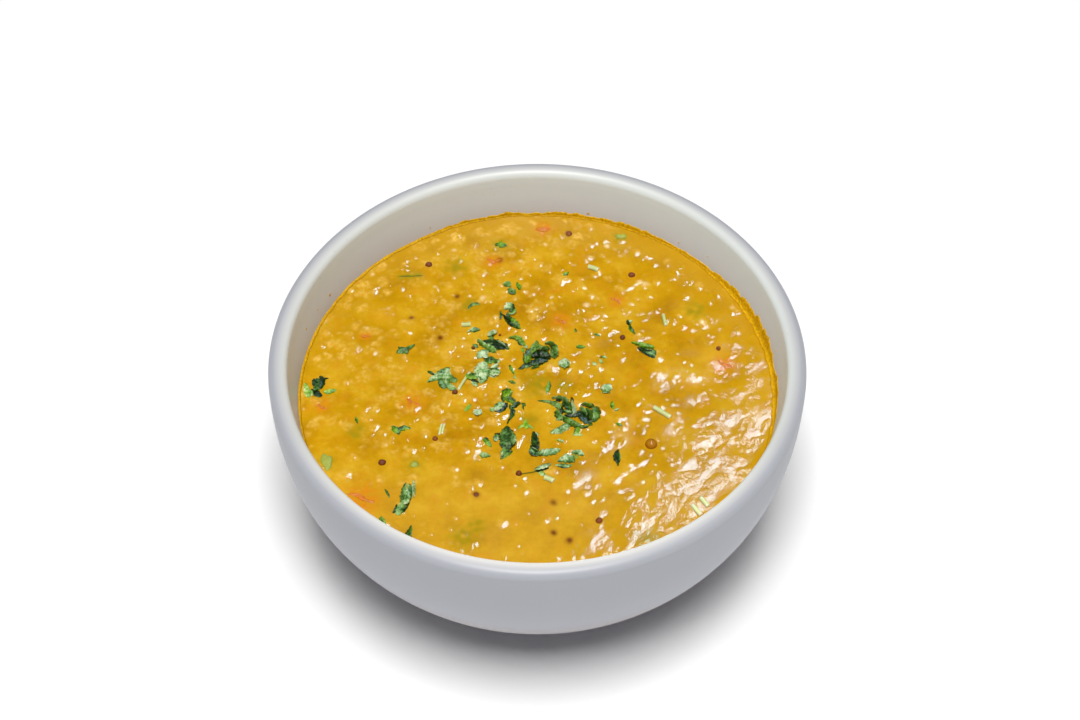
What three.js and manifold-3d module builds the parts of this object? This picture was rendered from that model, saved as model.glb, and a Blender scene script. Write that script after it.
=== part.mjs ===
// A bowl of dal: a thick-walled glazed bowl on a foot ring, filled with lentil soup and strewn with
// chopped coriander. Millimetres, +Z up, the origin at the middle of the foot ring's flat underside,
// -Y towards the eater.
//
//   bowl            one solid of revolution: foot ring, wall, rounded rim, inside wall and floor
//   dal             one solid up to its level, with a lumpy top; mustard seeds, tomato, stalks and
//                   flakes of leaf are fused to it
//   tuft_*          crumpled sprigs: two leaves joined by their stalk
//   leaf_*          single chopped leaflets

import * as THREE from 'three';
import { mergeVertices } from 'three/addons/utils/BufferGeometryUtils.js';
import Module from 'manifold-3d';

// ---------------------------------------------------------------- driving dimensions

const RIM_RADIUS = 75; // outside radius at the rim
const BOWL_HEIGHT = 70;
const CURVE_DEPTH = 89; // the wall's curve would meet the axis this far below the rim
const CURVE_POWER = 2.7; // how long the wall stays upright before it turns in
const RIM_THICKNESS = 5.4;
const WALL_THICKNESS = 6.7; // from THICK_BELOW down
const THICK_BELOW = 16; // depth at which the wall has its full thickness
const FLOOR_HEIGHT = 8.4; // inside floor above the table
const FLOOR_FLAT = 29; // radius of the flat of the inside floor
const FOOT_RADIUS = 40;
const FOOT_WIDTH = 4.4;
const FOOT_HEIGHT = 4;
const FOOT_EDGE = 0.7; // bevel of the foot ring's edges
const BASE_RECESS = 3; // height of the underside inside the foot ring
const BOWL_SIDES = 56;

const FILL_DEPTH = 16; // the dal's level below the rim
const FILL_HEIGHT = BOWL_HEIGHT - FILL_DEPTH;
const CLEARANCE = 0.4; // between the bowl and the dal
const REST_GAP = 0.45; // between the dal and what lies on it
const SURFACE_RINGS = 20; // ring k of the dal's top has 6k points

const SWELLS = 8; // crossing waves that make the lumpy top
const LONGEST_SWELL = 30;
const SWELL_SHRINK = 0.82; // each wave's length is this share of the one before
const SWELL_STEEPNESS = 0.014; // height of a wave for its length
const MENISCUS = 0.6; // rise of the dal at the wall
const MENISCUS_REACH = 1.8;

const LEAF_THICKNESS = 0.4;
const LONG_LEAF = 4.5; // a leaflet longer than this has three lobes a side, a shorter one two
const LEAF_SINUS = 0.66; // width between two lobes for the width at a lobe
const LEAF_FOLD = 0.4; // rise of the blade's sides for its half width
const LEAF_ARCH = 0.14; // rise of the midrib's middle for its length
const TUFT_WAVE = 0.5; // lift of a sprig's edge for its reach
const TUFT_FOLD = 0.04; // rise between two lobes for the reach
const TUFT_LAYER_GAP = 0.09; // height between a sprig's two leaves for its reach
const TUFT_NECK = 0.5; // radius of the stalk between them
const MUSTARD_RADIUS = 0.95;

const GOLDEN_ANGLE = Math.PI * (3 - Math.sqrt(5));

// ---------------------------------------------------------------- garnish, as laid

// Crumpled sprigs: x, y, reach across, number of lobes, heading in degrees, breadth for the reach.
const TUFTS = {
  tuft_west: [-26.5, 3.0, 9.8, 5, 140, 0.92],
  tuft_north: [-12.9, 16.6, 10.2, 5, 25, 0.9],
  tuft_pale: [-15.0, 6.2, 9.6, 4, 35, 0.9],
  tuft_dark: [0.4, 12.4, 11.2, 5, 10, 0.9],
  tuft_star: [5.6, -7.2, 11.6, 5, 165, 0.8],
  tuft_ball: [15.1, -8.4, 7.4, 5, 80, 0.95],
  tuft_curl: [-8.6, -4.0, 10.0, 4, 40, 0.82],
  tuft_edge: [-61.4, 1.2, 8.2, 4, 100, 0.9],
};

// Single leaflets: x, y of the base, length, width, heading in degrees.
const LEAVES = {
  leaf_far: [-10.2, 39.1, 6.0, 4.0, -9],
  leaf_hood: [-10.0, 31.4, 3.8, 3.2, 5],
  leaf_blade_north: [-9.8, 28.2, 7.8, 3.2, -48],
  leaf_pale_west: [-19.6, 21.2, 3.6, 2.8, 5],
  leaf_green_mid: [-7.2, 20.6, 3.8, 2.4, 12],
  leaf_speck_east: [26.6, 26.8, 5.4, 2.0, -78],
  leaf_east: [27.4, 17.6, 9.2, 4.0, -41],
  leaf_round_north: [6.9, 9.4, 3.6, 4.0, 0],
  leaf_round_east: [17.8, 1.2, 3.8, 3.8, 4],
  leaf_west: [-40.2, 14.2, 5.7, 2.8, 24],
  leaf_pale_mid: [-18.2, -8.4, 3.2, 3.0, 8],
  leaf_sprout: [-5.2, -12.2, 4.0, 2.8, 12],
  leaf_drop: [-7.5, -13.0, 11.7, 5.2, -101],
  leaf_hook: [-1.1, -14.8, 8.8, 2.9, -91],
  leaf_flag: [1.3, -23.0, 6.2, 2.8, 15],
  leaf_oar: [3.8, -16.2, 6.5, 2.8, 24],
  leaf_bright: [6.8, -17.4, 2.6, 2.0, -86],
  leaf_fan: [5.9, -26.8, 8.8, 4.4, 32],
  leaf_split: [-0.6, -29.2, 5.2, 2.8, 26],
  leaf_cup: [-16.2, -23.4, 3.6, 3.0, 2],
  leaf_small_west: [-15.6, -17.6, 4.0, 2.4, -46],
  leaf_point: [22.6, -20.8, 5.9, 2.8, -94],
  leaf_tongue: [-33.7, -32.5, 11.9, 3.5, -107],
  leaf_spear: [-34.5, -47.0, 4.8, 2.4, -97],
  leaf_nick: [-42.4, -44.1, 3.2, 2.2, -74],
  leaf_wing: [-40.6, -14.2, 5.2, 2.8, 4],
};

// What is fused to the dal, each as x, y of its middle, then its length or radius, heading and width.
const MUSTARD = [
  [-32.0, 47.6], [27.8, 43.7], [9.4, 60.1], [-28.5, -17.4], [-43.0, -25.6], [-16.8, -36.8],
  [4.5, -39.4], [8.7, -52.4], [16.8, -45.5], [-22.4, -2.6], [24.6, 19.6], [-36.4, 27.2],
  [-28.0, 19.4], [-23.5, 35.4], [-19.3, 15.6], [-5.3, -29.8], [52.0, 15.4],
];
const BUBBLE = [31.7, -19.3, 1.9];
const STALKS = [
  [35.1, -8.2, 5.8, -38, 1.4], [37.1, 25.5, 4.4, -88, 1.2], [16.5, 46.0, 3.2, -26, 1.4],
  [43.5, -42.1, 3.8, -56, 1.3], [45.6, -39.4, 3.4, -57, 1.3], [-26.6, -14.2, 3.6, -102, 1.3],
  [18.0, 10.6, 4.4, 32, 1.0], [-20.2, 24.2, 3.0, 2, 1.6], [2.6, -32.4, 3.6, -27, 1.4],
  [-3.4, -32.2, 3.4, 10, 0.7], [-57.4, -2.4, 3.0, 20, 1.1], [-37.4, 43.3, 7.0, 1, 1.0],
];
const SHREDS = [
  // tomato, then two slices of green chilli and a pale round
  [-35.1, -4.5, 4.8, -41, 1.9], [-59.4, -6.4, 3.4, -23, 2.2], [-48.0, -38.1, 7.6, -31, 2.5],
  [6.6, 26.1, 4.6, -31, 2.1], [23.1, 33.6, 4.0, -40, 1.8], [53.4, 9.6, 5.2, -38, 2.6],
  [-13.0, 48.9, 3.8, 0, 2.0], [1.8, 61.8, 3.8, 0, 2.6], [-49.6, 19.9, 2.4, 0, 1.8],
  [-58.2, -25.8, 6.2, -82, 2.8], [24.8, 58.8, 3.2, 0, 2.2], [-33.8, -26.3, 2.8, 0, 2.6],
];
const FLAKES = [
  [-13.4, -14.6, 2.0, 0, 1.6], [10.4, 17.0, 2.2, 0, 1.4], [21.2, -5.2, 3.0, -85, 1.4],
  [-22.8, -7.4, 3.0, 55, 1.4], [-2.4, 3.0, 3.0, -75, 1.4], [7.4, 1.6, 3.6, 70, 2.2],
  [-51.6, -10.2, 2.4, -60, 1.4], [-10.9, 55.7, 4.0, 0, 2.2],
  [-21.0, 31.6, 3.0, 30, 1.8], [8.4, 44.0, 2.6, 40, 1.6], [-41.6, -34.8, 2.4, -60, 1.4],
];

// ---------------------------------------------------------------- meshes and solids

const wasm = await Module();
wasm.setup();

// A closed geometry as a manifold-3d solid.
function toSolid(geometry) {
  const bare = geometry.clone();
  for (const name of Object.keys(bare.attributes)) {
    if (name !== 'position') bare.deleteAttribute(name);
  }
  const merged = mergeVertices(bare, 1e-4);
  return new wasm.Manifold(new wasm.Mesh({
    numProp: 3,
    vertProperties: merged.attributes.position.array,
    triVerts: new Uint32Array(merged.index.array),
  }));
}

// A manifold-3d solid as a geometry.
function toGeometry(solid) {
  const { numProp, numVert, vertProperties, triVerts } = solid.getMesh();
  const position = new Float32Array(numVert * 3);
  for (let i = 0; i < numVert; i++) {
    position.set(vertProperties.subarray(i * numProp, i * numProp + 3), i * 3);
  }
  return new THREE.BufferGeometry()
    .setAttribute('position', new THREE.BufferAttribute(position, 3))
    .setIndex(new THREE.BufferAttribute(triVerts, 1));
}

function union(geometries) {
  const [first, ...rest] = geometries.map(toSolid);
  return toGeometry(rest.reduce((all, next) => all.add(next), first));
}

// A geometry from corner points and triangles of their indices.
function fromTriangles(points, triangles) {
  return new THREE.BufferGeometry().setFromPoints(points).setIndex(triangles);
}

// The skin over a stack of closed rings, from the first to the last. Neighbouring rings may differ in
// their number of points, and a ring of one point closes an end.
function ringSkin(rings) {
  const points = rings.flat();
  const triangles = [];
  let start = 0;
  for (let k = 0; k + 1 < rings.length; k++) {
    const a = rings[k].length;
    const b = rings[k + 1].length;
    const next = start + a;
    let i = 0;
    let j = 0;
    while (i < (a > 1 ? a : 0) || j < (b > 1 ? b : 0)) {
      const stepA = a > 1 && i < a && (b === 1 || j === b || (i + 0.5) / a < (j + 0.5) / b);
      const here = start + (i % a);
      const there = next + (j % b);
      if (stepA) {
        triangles.push(here, there, start + ((i + 1) % a));
        i++;
      } else {
        triangles.push(here, there, next + ((j + 1) % b));
        j++;
      }
    }
    start = next;
  }
  return fromTriangles(points, triangles);
}

function circle(count, radius, heightAt) {
  return Array.from({ length: count }, (_, i) => {
    const angle = (2 * Math.PI * i) / count;
    const x = radius * Math.cos(angle);
    const y = radius * Math.sin(angle);
    return new THREE.Vector3(x, y, heightAt(x, y));
  });
}

// ---------------------------------------------------------------- bowl

const steps = (from, to, count) =>
  Array.from({ length: count + 1 }, (_, i) => from + ((to - from) * i) / count);

// The outer wall at a depth below the rim: its radius, height and outward normal.
function outerWall(depth) {
  const share = depth / CURVE_DEPTH;
  const radius = RIM_RADIUS * (1 - share ** CURVE_POWER);
  const slope = (-RIM_RADIUS * CURVE_POWER * share ** (CURVE_POWER - 1)) / CURVE_DEPTH;
  const normal = new THREE.Vector2(1, slope).normalize();
  return { point: new THREE.Vector2(radius, BOWL_HEIGHT - depth), normal };
}

// The inner wall is the outer one, taken in by the wall's thickness.
function innerWall(depth) {
  const { point, normal } = outerWall(depth);
  const full = THREE.MathUtils.smoothstep(depth, 0, THICK_BELOW);
  const thickness = THREE.MathUtils.lerp(RIM_THICKNESS, WALL_THICKNESS, full);
  return { point: point.addScaledVector(normal, -thickness), normal };
}

const RIM_ROUND = RIM_THICKNESS / 2;
const BODY_END = BOWL_HEIGHT - FOOT_HEIGHT; // depth at which the wall meets the foot ring
const INNER_DEPTHS = [RIM_ROUND + 0.6, 9.5, 16, 27, 38, 50, 63];
const OUTER_DEPTHS = [BODY_END, 59.5, 52.5, 45, 37, 28, 18, 9];
const innerStations = INNER_DEPTHS.map(innerWall);

function footProfile() {
  const inner = FOOT_RADIUS - FOOT_WIDTH;
  return [
    new THREE.Vector2(0, BASE_RECESS),
    new THREE.Vector2(inner - FOOT_EDGE, BASE_RECESS),
    new THREE.Vector2(inner, FOOT_EDGE),
    new THREE.Vector2(inner + FOOT_EDGE, 0),
    new THREE.Vector2(FOOT_RADIUS - FOOT_EDGE, 0),
    new THREE.Vector2(FOOT_RADIUS, FOOT_EDGE),
    new THREE.Vector2(FOOT_RADIUS + FOOT_EDGE / 2, FOOT_HEIGHT - FOOT_EDGE),
  ];
}

function rimProfile() {
  const middle = new THREE.Vector2(RIM_RADIUS - RIM_ROUND, BOWL_HEIGHT - RIM_ROUND);
  return steps(0, Math.PI, 6).map((angle) =>
    new THREE.Vector2(Math.cos(angle), Math.sin(angle)).multiplyScalar(RIM_ROUND).add(middle));
}

function bowlGeometry() {
  const profile = [
    ...footProfile(),
    ...OUTER_DEPTHS.map((depth) => outerWall(depth).point),
    ...rimProfile(),
    ...innerStations.map((station) => station.point),
    new THREE.Vector2(FLOOR_FLAT, FLOOR_HEIGHT),
    new THREE.Vector2(0, FLOOR_HEIGHT),
  ];
  return new THREE.LatheGeometry(profile, BOWL_SIDES).rotateX(Math.PI / 2);
}

// ---------------------------------------------------------------- dal

// The radius of the faceted inside wall at a height, worked out between two stations.
function insideRadiusAt(height) {
  const below = innerStations.findIndex(({ point }) => point.y <= height);
  const high = innerStations[below - 1].point;
  const low = innerStations[below].point;
  return THREE.MathUtils.mapLinear(height, high.y, low.y, high.x, low.x);
}

const DAL_RADIUS = insideRadiusAt(FILL_HEIGHT) - CLEARANCE;

// The height of the dal's top: waves of falling length, each turned by the golden angle from the last,
// and a rise where the soup clings to the wall.
function surfaceHeight(x, y) {
  let height = FILL_HEIGHT;
  for (let i = 0; i < SWELLS; i++) {
    const length = LONGEST_SWELL * SWELL_SHRINK ** i;
    const along = x * Math.cos(i * GOLDEN_ANGLE) + y * Math.sin(i * GOLDEN_ANGLE);
    height += SWELL_STEEPNESS * length * Math.sin((2 * Math.PI * along) / length + i * i);
  }
  return height + MENISCUS * Math.exp((Math.hypot(x, y) - DAL_RADIUS) / MENISCUS_REACH);
}

function dalBody() {
  const rings = [[new THREE.Vector3(0, 0, surfaceHeight(0, 0))]];
  for (let k = 1; k <= SURFACE_RINGS; k++) {
    rings.push(circle(6 * k, (DAL_RADIUS * k) / SURFACE_RINGS, surfaceHeight));
  }
  for (const { point, normal } of innerStations) {
    if (point.y < FILL_HEIGHT - 2) {
      const skin = point.clone().addScaledVector(normal, -CLEARANCE);
      rings.push(circle(BOWL_SIDES, skin.x, () => skin.y));
    }
  }
  const floor = FLOOR_HEIGHT + CLEARANCE;
  rings.push(circle(BOWL_SIDES / 2, FLOOR_FLAT - CLEARANCE, () => floor));
  rings.push([new THREE.Vector3(0, 0, floor)]);
  return ringSkin(rings);
}

// Puts a piece on the dal at x, y, turned to a heading, with its own origin this far above the surface.
function laid(geometry, x, y, headingDegrees = 0, above = 0) {
  return geometry
    .rotateZ(THREE.MathUtils.degToRad(headingDegrees))
    .translate(x, y, surfaceHeight(x, y) + above);
}

function mustardSeed([x, y]) {
  return laid(new THREE.IcosahedronGeometry(MUSTARD_RADIUS, 0), x, y, 60 * x, 0.25);
}

function bubble([x, y, radius]) {
  return laid(new THREE.SphereGeometry(radius, 10, 6), x, y, 0, -0.35 * radius);
}

function stalk([x, y, length, heading, width]) {
  const rod = new THREE.CylinderGeometry(width / 2, width / 2, length, 5).rotateZ(Math.PI / 2);
  return laid(rod, x, y, heading, 0.1 * width);
}

// A soft lump, higher than the dal in its middle and sunk at its ends.
function shred([x, y, length, heading, width]) {
  const lump = new THREE.SphereGeometry(0.5, 6, 3).scale(length, width, 1.9);
  return laid(lump, x, y, heading, 0);
}

// A flake of leaf stuck in the surface.
function flake([x, y, length, heading, width]) {
  const stuck = leaflet({ length, width, lobes: 1 }).translate(-length / 2, 0, 0);
  return laid(stuck, x, y, heading, -0.25);
}

function dalGeometry() {
  return union([
    dalBody(),
    ...MUSTARD.map(mustardSeed),
    bubble(BUBBLE),
    ...STALKS.map(stalk),
    ...SHREDS.map(shred),
    ...FLAKES.map(flake),
  ]);
}

// ---------------------------------------------------------------- coriander

// A thin closed blade from its lower face, whose triangles and outline run anticlockwise seen from
// above. The upper face is the same one raised, so both are split into triangles alike.
function blade(face, triangles, outline) {
  const count = face.length;
  const raised = face.map((p) => p.clone().setZ(p.z + LEAF_THICKNESS));
  const skin = [];
  for (const [a, b, c] of triangles) {
    skin.push(a, c, b, count + a, count + b, count + c);
  }
  outline.forEach((a, i) => {
    const b = outline[(i + 1) % outline.length];
    skin.push(a, b, count + b, a, count + b, count + a);
  });
  return fromTriangles([...face, ...raised], skin);
}

// One leaflet along +X from its base: lobed sides that rise from an arched midrib.
function leaflet({ length, width, lobes = length > LONG_LEAF ? 3 : 2 }) {
  const cuts = 2 * lobes;
  const face = steps(0, 1, cuts).flatMap((u, i) => {
    const lobe = i % 2 ? 1 : LEAF_SINUS;
    const half = (width / 2) * lobe * Math.sin(Math.PI * (0.14 + 0.78 * u)) ** 0.8;
    const rise = LEAF_ARCH * length * Math.sin(Math.PI * u);
    const side = (sign) =>
      new THREE.Vector3(u * length + 0.3 * half * (i % 2), sign * half, rise + LEAF_FOLD * half);
    return [side(-1), new THREE.Vector3(u * length, 0, rise), side(1)];
  });
  const triangles = [];
  const right = [];
  const left = [];
  for (let i = 0; i <= cuts; i++) {
    right.push(3 * i);
    left.unshift(3 * i + 2);
    if (i === cuts) break;
    for (const at of [3 * i, 3 * i + 1]) {
      triangles.push([at, at + 3, at + 4], [at, at + 4, at + 1]);
    }
  }
  return blade(face, triangles, [...right, 3 * cuts + 1, ...left, 1]);
}

// A crumpled leaf: lobes round a middle, each folded along its rib, and a wave that lifts the edge by
// turns. `around` is the number of points on a lobe, `size` its share of the sprig's reach and `cone`
// how steeply it opens upwards.
function frill({ reach, lobes, phase, around = 4, size = 1, cone = 0 }) {
  const spokes = around * lobes;
  const face = [new THREE.Vector3()];
  for (const share of [0.5, 1]) {
    for (let i = 0; i < spokes; i++) {
      const angle = (2 * Math.PI * i) / spokes;
      const lobe = Math.cos(lobes * angle);
      const outline = 0.81 + 0.16 * lobe + 0.05 * Math.sin(2 * angle + phase);
      const radius = share * outline * size * (reach / 2);
      const wave = TUFT_WAVE * (1 + Math.sin(3 * angle + 2 * phase)) * (radius / reach) ** 1.5;
      const fold = TUFT_FOLD * size * share * (1 - lobe);
      const height = reach * (wave + fold) + cone * radius;
      face.push(new THREE.Vector3(radius * Math.cos(angle), radius * Math.sin(angle), height));
    }
  }
  const triangles = [];
  const edge = [];
  for (let i = 0; i < spokes; i++) {
    const inner = 1 + i;
    const next = 1 + ((i + 1) % spokes);
    triangles.push([0, inner, next]);
    triangles.push([inner, inner + spokes, next + spokes]);
    triangles.push([inner, next + spokes, next]);
    edge.push(inner + spokes);
  }
  return blade(face, triangles, edge);
}

// A sprig: a broad crumpled leaf with a smaller one held over it by their stalk.
function sprig([, , reach, lobes, heading, breadth]) {
  const phase = THREE.MathUtils.degToRad(3 * heading);
  const apart = TUFT_LAYER_GAP * reach;
  const lower = frill({ reach, lobes, phase });
  const upper = frill({ reach, lobes: lobes - 1, phase, around: 3, size: 0.7, cone: 0.3 })
    .translate(0, 0, apart);
  const neck = new THREE.CylinderGeometry(TUFT_NECK, TUFT_NECK, apart, 5)
    .rotateX(Math.PI / 2)
    .translate(0, 0, (apart + LEAF_THICKNESS) / 2);
  return union([lower, neck, upper])
    .scale(1, breadth, 1)
    .rotateZ(THREE.MathUtils.degToRad(heading));
}

// Lays a leaf on the dal: its lowest point goes to the surface and the rest follows the lumps under it.
function draped(geometry, x, y) {
  geometry.computeBoundingBox();
  geometry.translate(x, y, REST_GAP - geometry.boundingBox.min.z);
  const position = geometry.getAttribute('position');
  for (let i = 0; i < position.count; i++) {
    position.setZ(i, position.getZ(i) + surfaceHeight(position.getX(i), position.getY(i)));
  }
  return geometry;
}

function tuftGeometry(row) {
  return draped(sprig(row), row[0], row[1]);
}

function leafGeometry([x, y, length, width, heading]) {
  return draped(leaflet({ length, width }).rotateZ(THREE.MathUtils.degToRad(heading)), x, y);
}

// ---------------------------------------------------------------- assembly

const glaze = new THREE.MeshStandardMaterial({ color: 0xe4e5e2, roughness: 0.15, metalness: 0 });
const lentil = new THREE.MeshStandardMaterial({ color: 0xd69f1f, roughness: 0.25, metalness: 0 });
const herb = new THREE.MeshStandardMaterial({ color: 0x3f7a3a, roughness: 0.4, metalness: 0 });

const bowlOfDal = new THREE.Group();

function add(name, geometry, material) {
  geometry.computeVertexNormals();
  const mesh = new THREE.Mesh(geometry, material);
  mesh.name = name;
  bowlOfDal.add(mesh);
}

add('bowl', bowlGeometry(), glaze);
add('dal', dalGeometry(), lentil);
for (const [name, row] of Object.entries(TUFTS)) add(name, tuftGeometry(row), herb);
for (const [name, row] of Object.entries(LEAVES)) add(name, leafGeometry(row), herb);

export default bowlOfDal;
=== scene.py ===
# %% [markdown]
# # A bowl of dal
#
# The object is a thick-walled glazed bowl, 150 mm across, filled with yellow lentil dal and strewn
# with chopped coriander. A frame of plain solids is loaded first. Each of its nodes then gets a
# detailed skin of its own: the bowl as a smooth turned form, the dal as a lumpy wet surface, and
# the leaves, seeds and shreds as small meshes of their own. Sizes are in millimetres and are turned
# to metres by MM where a mesh, a shader or the camera needs them. Only the table and the lamps are
# given in metres.

import math

import bmesh
import bpy
import numpy as np
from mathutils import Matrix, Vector


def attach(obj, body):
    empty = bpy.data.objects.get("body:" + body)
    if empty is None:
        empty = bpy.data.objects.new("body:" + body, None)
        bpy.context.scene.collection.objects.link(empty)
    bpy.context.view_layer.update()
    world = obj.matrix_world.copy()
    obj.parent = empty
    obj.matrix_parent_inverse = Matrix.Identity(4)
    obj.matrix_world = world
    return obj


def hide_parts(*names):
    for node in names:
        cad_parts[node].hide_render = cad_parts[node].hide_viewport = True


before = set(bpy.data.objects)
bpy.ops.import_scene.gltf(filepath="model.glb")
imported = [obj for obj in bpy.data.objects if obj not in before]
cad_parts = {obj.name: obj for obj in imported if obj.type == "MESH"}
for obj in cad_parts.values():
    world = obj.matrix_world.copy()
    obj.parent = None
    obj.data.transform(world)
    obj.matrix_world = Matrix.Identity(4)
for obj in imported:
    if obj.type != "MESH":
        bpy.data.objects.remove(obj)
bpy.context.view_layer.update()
scene = bpy.context.scene
print("nodes in the frame:", len(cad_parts))

# %% [markdown]
# ## The camera
#
# The bowl is looked at from the eater's side, 50 degrees above the table and 70 cm away. A camera
# can be aimed by a constraint, but here the angle is the known thing, so the camera is placed by
# it: straight back along its own line of sight from the middle of the rim.

# %% Place the camera
MM = 0.001
RIM_RADIUS = 75.0
BOWL_HEIGHT = 70.0
VIEW_ELEVATION = math.radians(50.2)
VIEW_DISTANCE = 700.0
FILM_WIDTH = 36.0
LENS_LENGTH = 83.8
# The lens is moved right and down by these shares of the film's width, and the bowl left and up.
LENS_SHIFT = (0.0025, -0.0054)


def place_camera():
    """A camera on its line of sight, looking down it at the middle of the rim."""
    data = bpy.data.cameras.new("camera")
    data.sensor_width = FILM_WIDTH
    data.lens = LENS_LENGTH
    data.shift_x, data.shift_y = LENS_SHIFT
    camera = bpy.data.objects.new("camera", data)
    scene.collection.objects.link(camera)
    back = -VIEW_DISTANCE * math.cos(VIEW_ELEVATION)
    up = BOWL_HEIGHT + VIEW_DISTANCE * math.sin(VIEW_ELEVATION)
    camera.location = (0.0, back * MM, up * MM)
    camera.rotation_euler = (math.pi / 2 - VIEW_ELEVATION, 0.0, 0.0)
    scene.camera = camera
    return camera


camera = place_camera()
print("camera at, m:", [round(v, 3) for v in camera.location])

# %% [markdown]
# ## Shapes and how they become pieces
#
# Everything here is made from number arrays. A shape is a dictionary with its points, its faces
# and any values that the points carry, such as how pale a leaf is. Shapes can be turned, moved and
# joined before one Blender mesh is made of them, so a hundred seeds become one piece and not a
# hundred objects.


# %% Join shapes and make a piece
def join(shapes):
    """One shape out of many. Each keeps its own point values."""
    points, faces, start = [], [], 0
    values = {key: [] for key in shapes[0]["values"]}
    for shape in shapes:
        points.append(shape["points"])
        faces.extend([[start + i for i in face] for face in shape["faces"]])
        for key in values:
            values[key].append(shape["values"][key])
        start += len(shape["points"])
    return {
        "points": np.concatenate(points),
        "faces": faces,
        "values": {key: np.concatenate(parts) for key, parts in values.items()},
    }


def make_piece(name, shape, material, stands_for):
    """A smooth Blender object from a shape. It rides on the part's one body, takes the place of
    the frame's nodes that it stands for, which are hidden, and wears the given material."""
    mesh = bpy.data.meshes.new(name)
    mesh.from_pydata((shape["points"] * MM).tolist(), [], shape["faces"])
    for key, numbers in shape["values"].items():
        layer = mesh.attributes.new(key, "FLOAT", "POINT")
        layer.data.foreach_set("value", np.asarray(numbers, dtype=np.float32))
    mesh.polygons.foreach_set("use_smooth", [True] * len(mesh.polygons))
    mesh.materials.append(material)
    mesh.update()
    piece = bpy.data.objects.new(name, mesh)
    scene.collection.objects.link(piece)
    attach(piece, "root")
    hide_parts(*stands_for)
    triangles = sum(len(face) - 2 for face in shape["faces"])
    print(f"{name}: {len(shape['points'])} points, {triangles} triangles")
    return piece


print("a shape of 1 mm is made", MM, "m long")

# %% [markdown]
# ## Colours and nodes
#
# Colours are written as the sRGB hex values that one would read off a screen. Shaders count in
# linear light, so one function turns them. One more function adds a node to a material, sets it
# up and links it. Most finishes here are a ground colour with thin coats over it, so another
# function lays coats, and every material below reads from top to bottom like a recipe.


# %% Colour and node helpers
def linear(hex_colour):
    """A linear RGBA tuple from an sRGB hex value such as D69F1F."""
    channels = [int(hex_colour[i : i + 2], 16) / 255 for i in (0, 2, 4)]
    return tuple(c / 12.92 if c <= 0.04045 else ((c + 0.055) / 1.055) ** 2.4 for c in channels) + (1.0,)


def add_node(tree, kind, inputs=None, stops=(), **settings):
    """A new node with its settings. In inputs a socket is linked, a hex colour is turned to linear
    light, and any other value is set. Stops are the hex colours of a ramp, evenly spaced."""
    made = tree.nodes.new(kind)
    for key, value in settings.items():
        setattr(made, key, value)
    for key, value in (inputs or {}).items():
        if isinstance(value, bpy.types.NodeSocket):
            tree.links.new(value, made.inputs[key])
        else:
            made.inputs[key].default_value = linear(value) if isinstance(value, str) else value
    for i in range(1, len(stops) - 1):
        made.color_ramp.elements.new(i / (len(stops) - 1))
    for i, stop in enumerate(stops):
        made.color_ramp.elements[i].color = linear(stop)
    return made


def coated(tree, colour, *coats):
    """The colour with coats over it. Each coat is how much of it there is, and its own colour."""
    for amount, coat in coats:
        over = add_node(tree, "ShaderNodeMix", {0: amount, 6: colour, 7: coat}, data_type="RGBA")
        colour = over.outputs[2]
    return colour


def new_material(name):
    """A node material, its tree and its shader, ready for links, and the place on the object."""
    material = bpy.data.materials.new(name)
    material.use_nodes = True
    tree = material.node_tree
    tree.nodes.clear()
    shader = add_node(tree, "ShaderNodeBsdfPrincipled")
    add_node(tree, "ShaderNodeOutputMaterial", {"Surface": shader.outputs["BSDF"]})
    place = add_node(tree, "ShaderNodeTexCoord").outputs["Object"]
    return material, tree, shader, place


print("gold in linear light:", [round(c, 3) for c in linear("D69F1F")])

# %% [markdown]
# ## The bowl
#
# The real bowl is thrown or jiggered on a wheel: a wall that stays upright for a long way, then
# turns in to a foot ring, with a rounded rim. It could be a curve with a Screw modifier. Here the
# profile is worked out point by point from the wall's formula, because the tide line and the dal's
# edge need the same inside radius later.

# %% The wall's profile
# The outer wall is a power curve, which would reach the axis this far below the rim.
CURVE_DEPTH = 89.0
CURVE_POWER = 2.7
# The wall thickens from the rim down to this depth.
RIM_THICKNESS = 5.4
WALL_THICKNESS = 6.7
THICK_BELOW = 16.0
FLOOR_HEIGHT = 8.4
FLOOR_EDGE = 31.0
FLOOR_FLAT = 26.0
FOOT_RADIUS = 40.0
FOOT_WIDTH = 4.4
FOOT_ROUNDING = 0.9
FOOT_FILLET = 2.0
BASE_RECESS = 3.0


def outer_wall(depth):
    """Radius, height and outward normal of the outer wall at a depth below the rim."""
    share = depth / CURVE_DEPTH
    radius = RIM_RADIUS * (1 - share**CURVE_POWER)
    slope = -RIM_RADIUS * CURVE_POWER * share ** (CURVE_POWER - 1) / CURVE_DEPTH
    normal = np.array([1.0, slope]) / math.hypot(1.0, slope)
    return np.array([radius, BOWL_HEIGHT - depth]), normal


def inner_wall(depth):
    """Radius and height of the inner wall: the outer one moved in by the wall's thickness."""
    point, normal = outer_wall(depth)
    share = min(max(depth / THICK_BELOW, 0.0), 1.0)
    share = share * share * (3 - 2 * share)
    return point - normal * (RIM_THICKNESS + (WALL_THICKNESS - RIM_THICKNESS) * share)


inner_line = np.array([inner_wall(d) for d in np.linspace(3.0, 64.0, 120)])


def inside_radius(height):
    """Radius of the inside wall at a height above the table."""
    return np.interp(height, inner_line[::-1, 1], inner_line[::-1, 0])


print("inside radius 54 mm up:", round(float(inside_radius(54.0)), 2))


# %% Turn the bowl
BOWL_SIDES = 256


def arc(middle, radius, start, end, count, square=2.0):
    """Points of an arc in the profile's plane, in degrees. A square above 2 flattens it a little,
    as a rim is flattened by the potter's thumb."""
    angles = np.radians(np.linspace(start, end, count))
    c, s = np.cos(angles), np.sin(angles)
    reach = (np.abs(c) ** square + np.abs(s) ** square) ** (-1 / square)
    return np.stack([middle[0] + radius * reach * c, middle[1] + radius * reach * s], 1)


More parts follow.
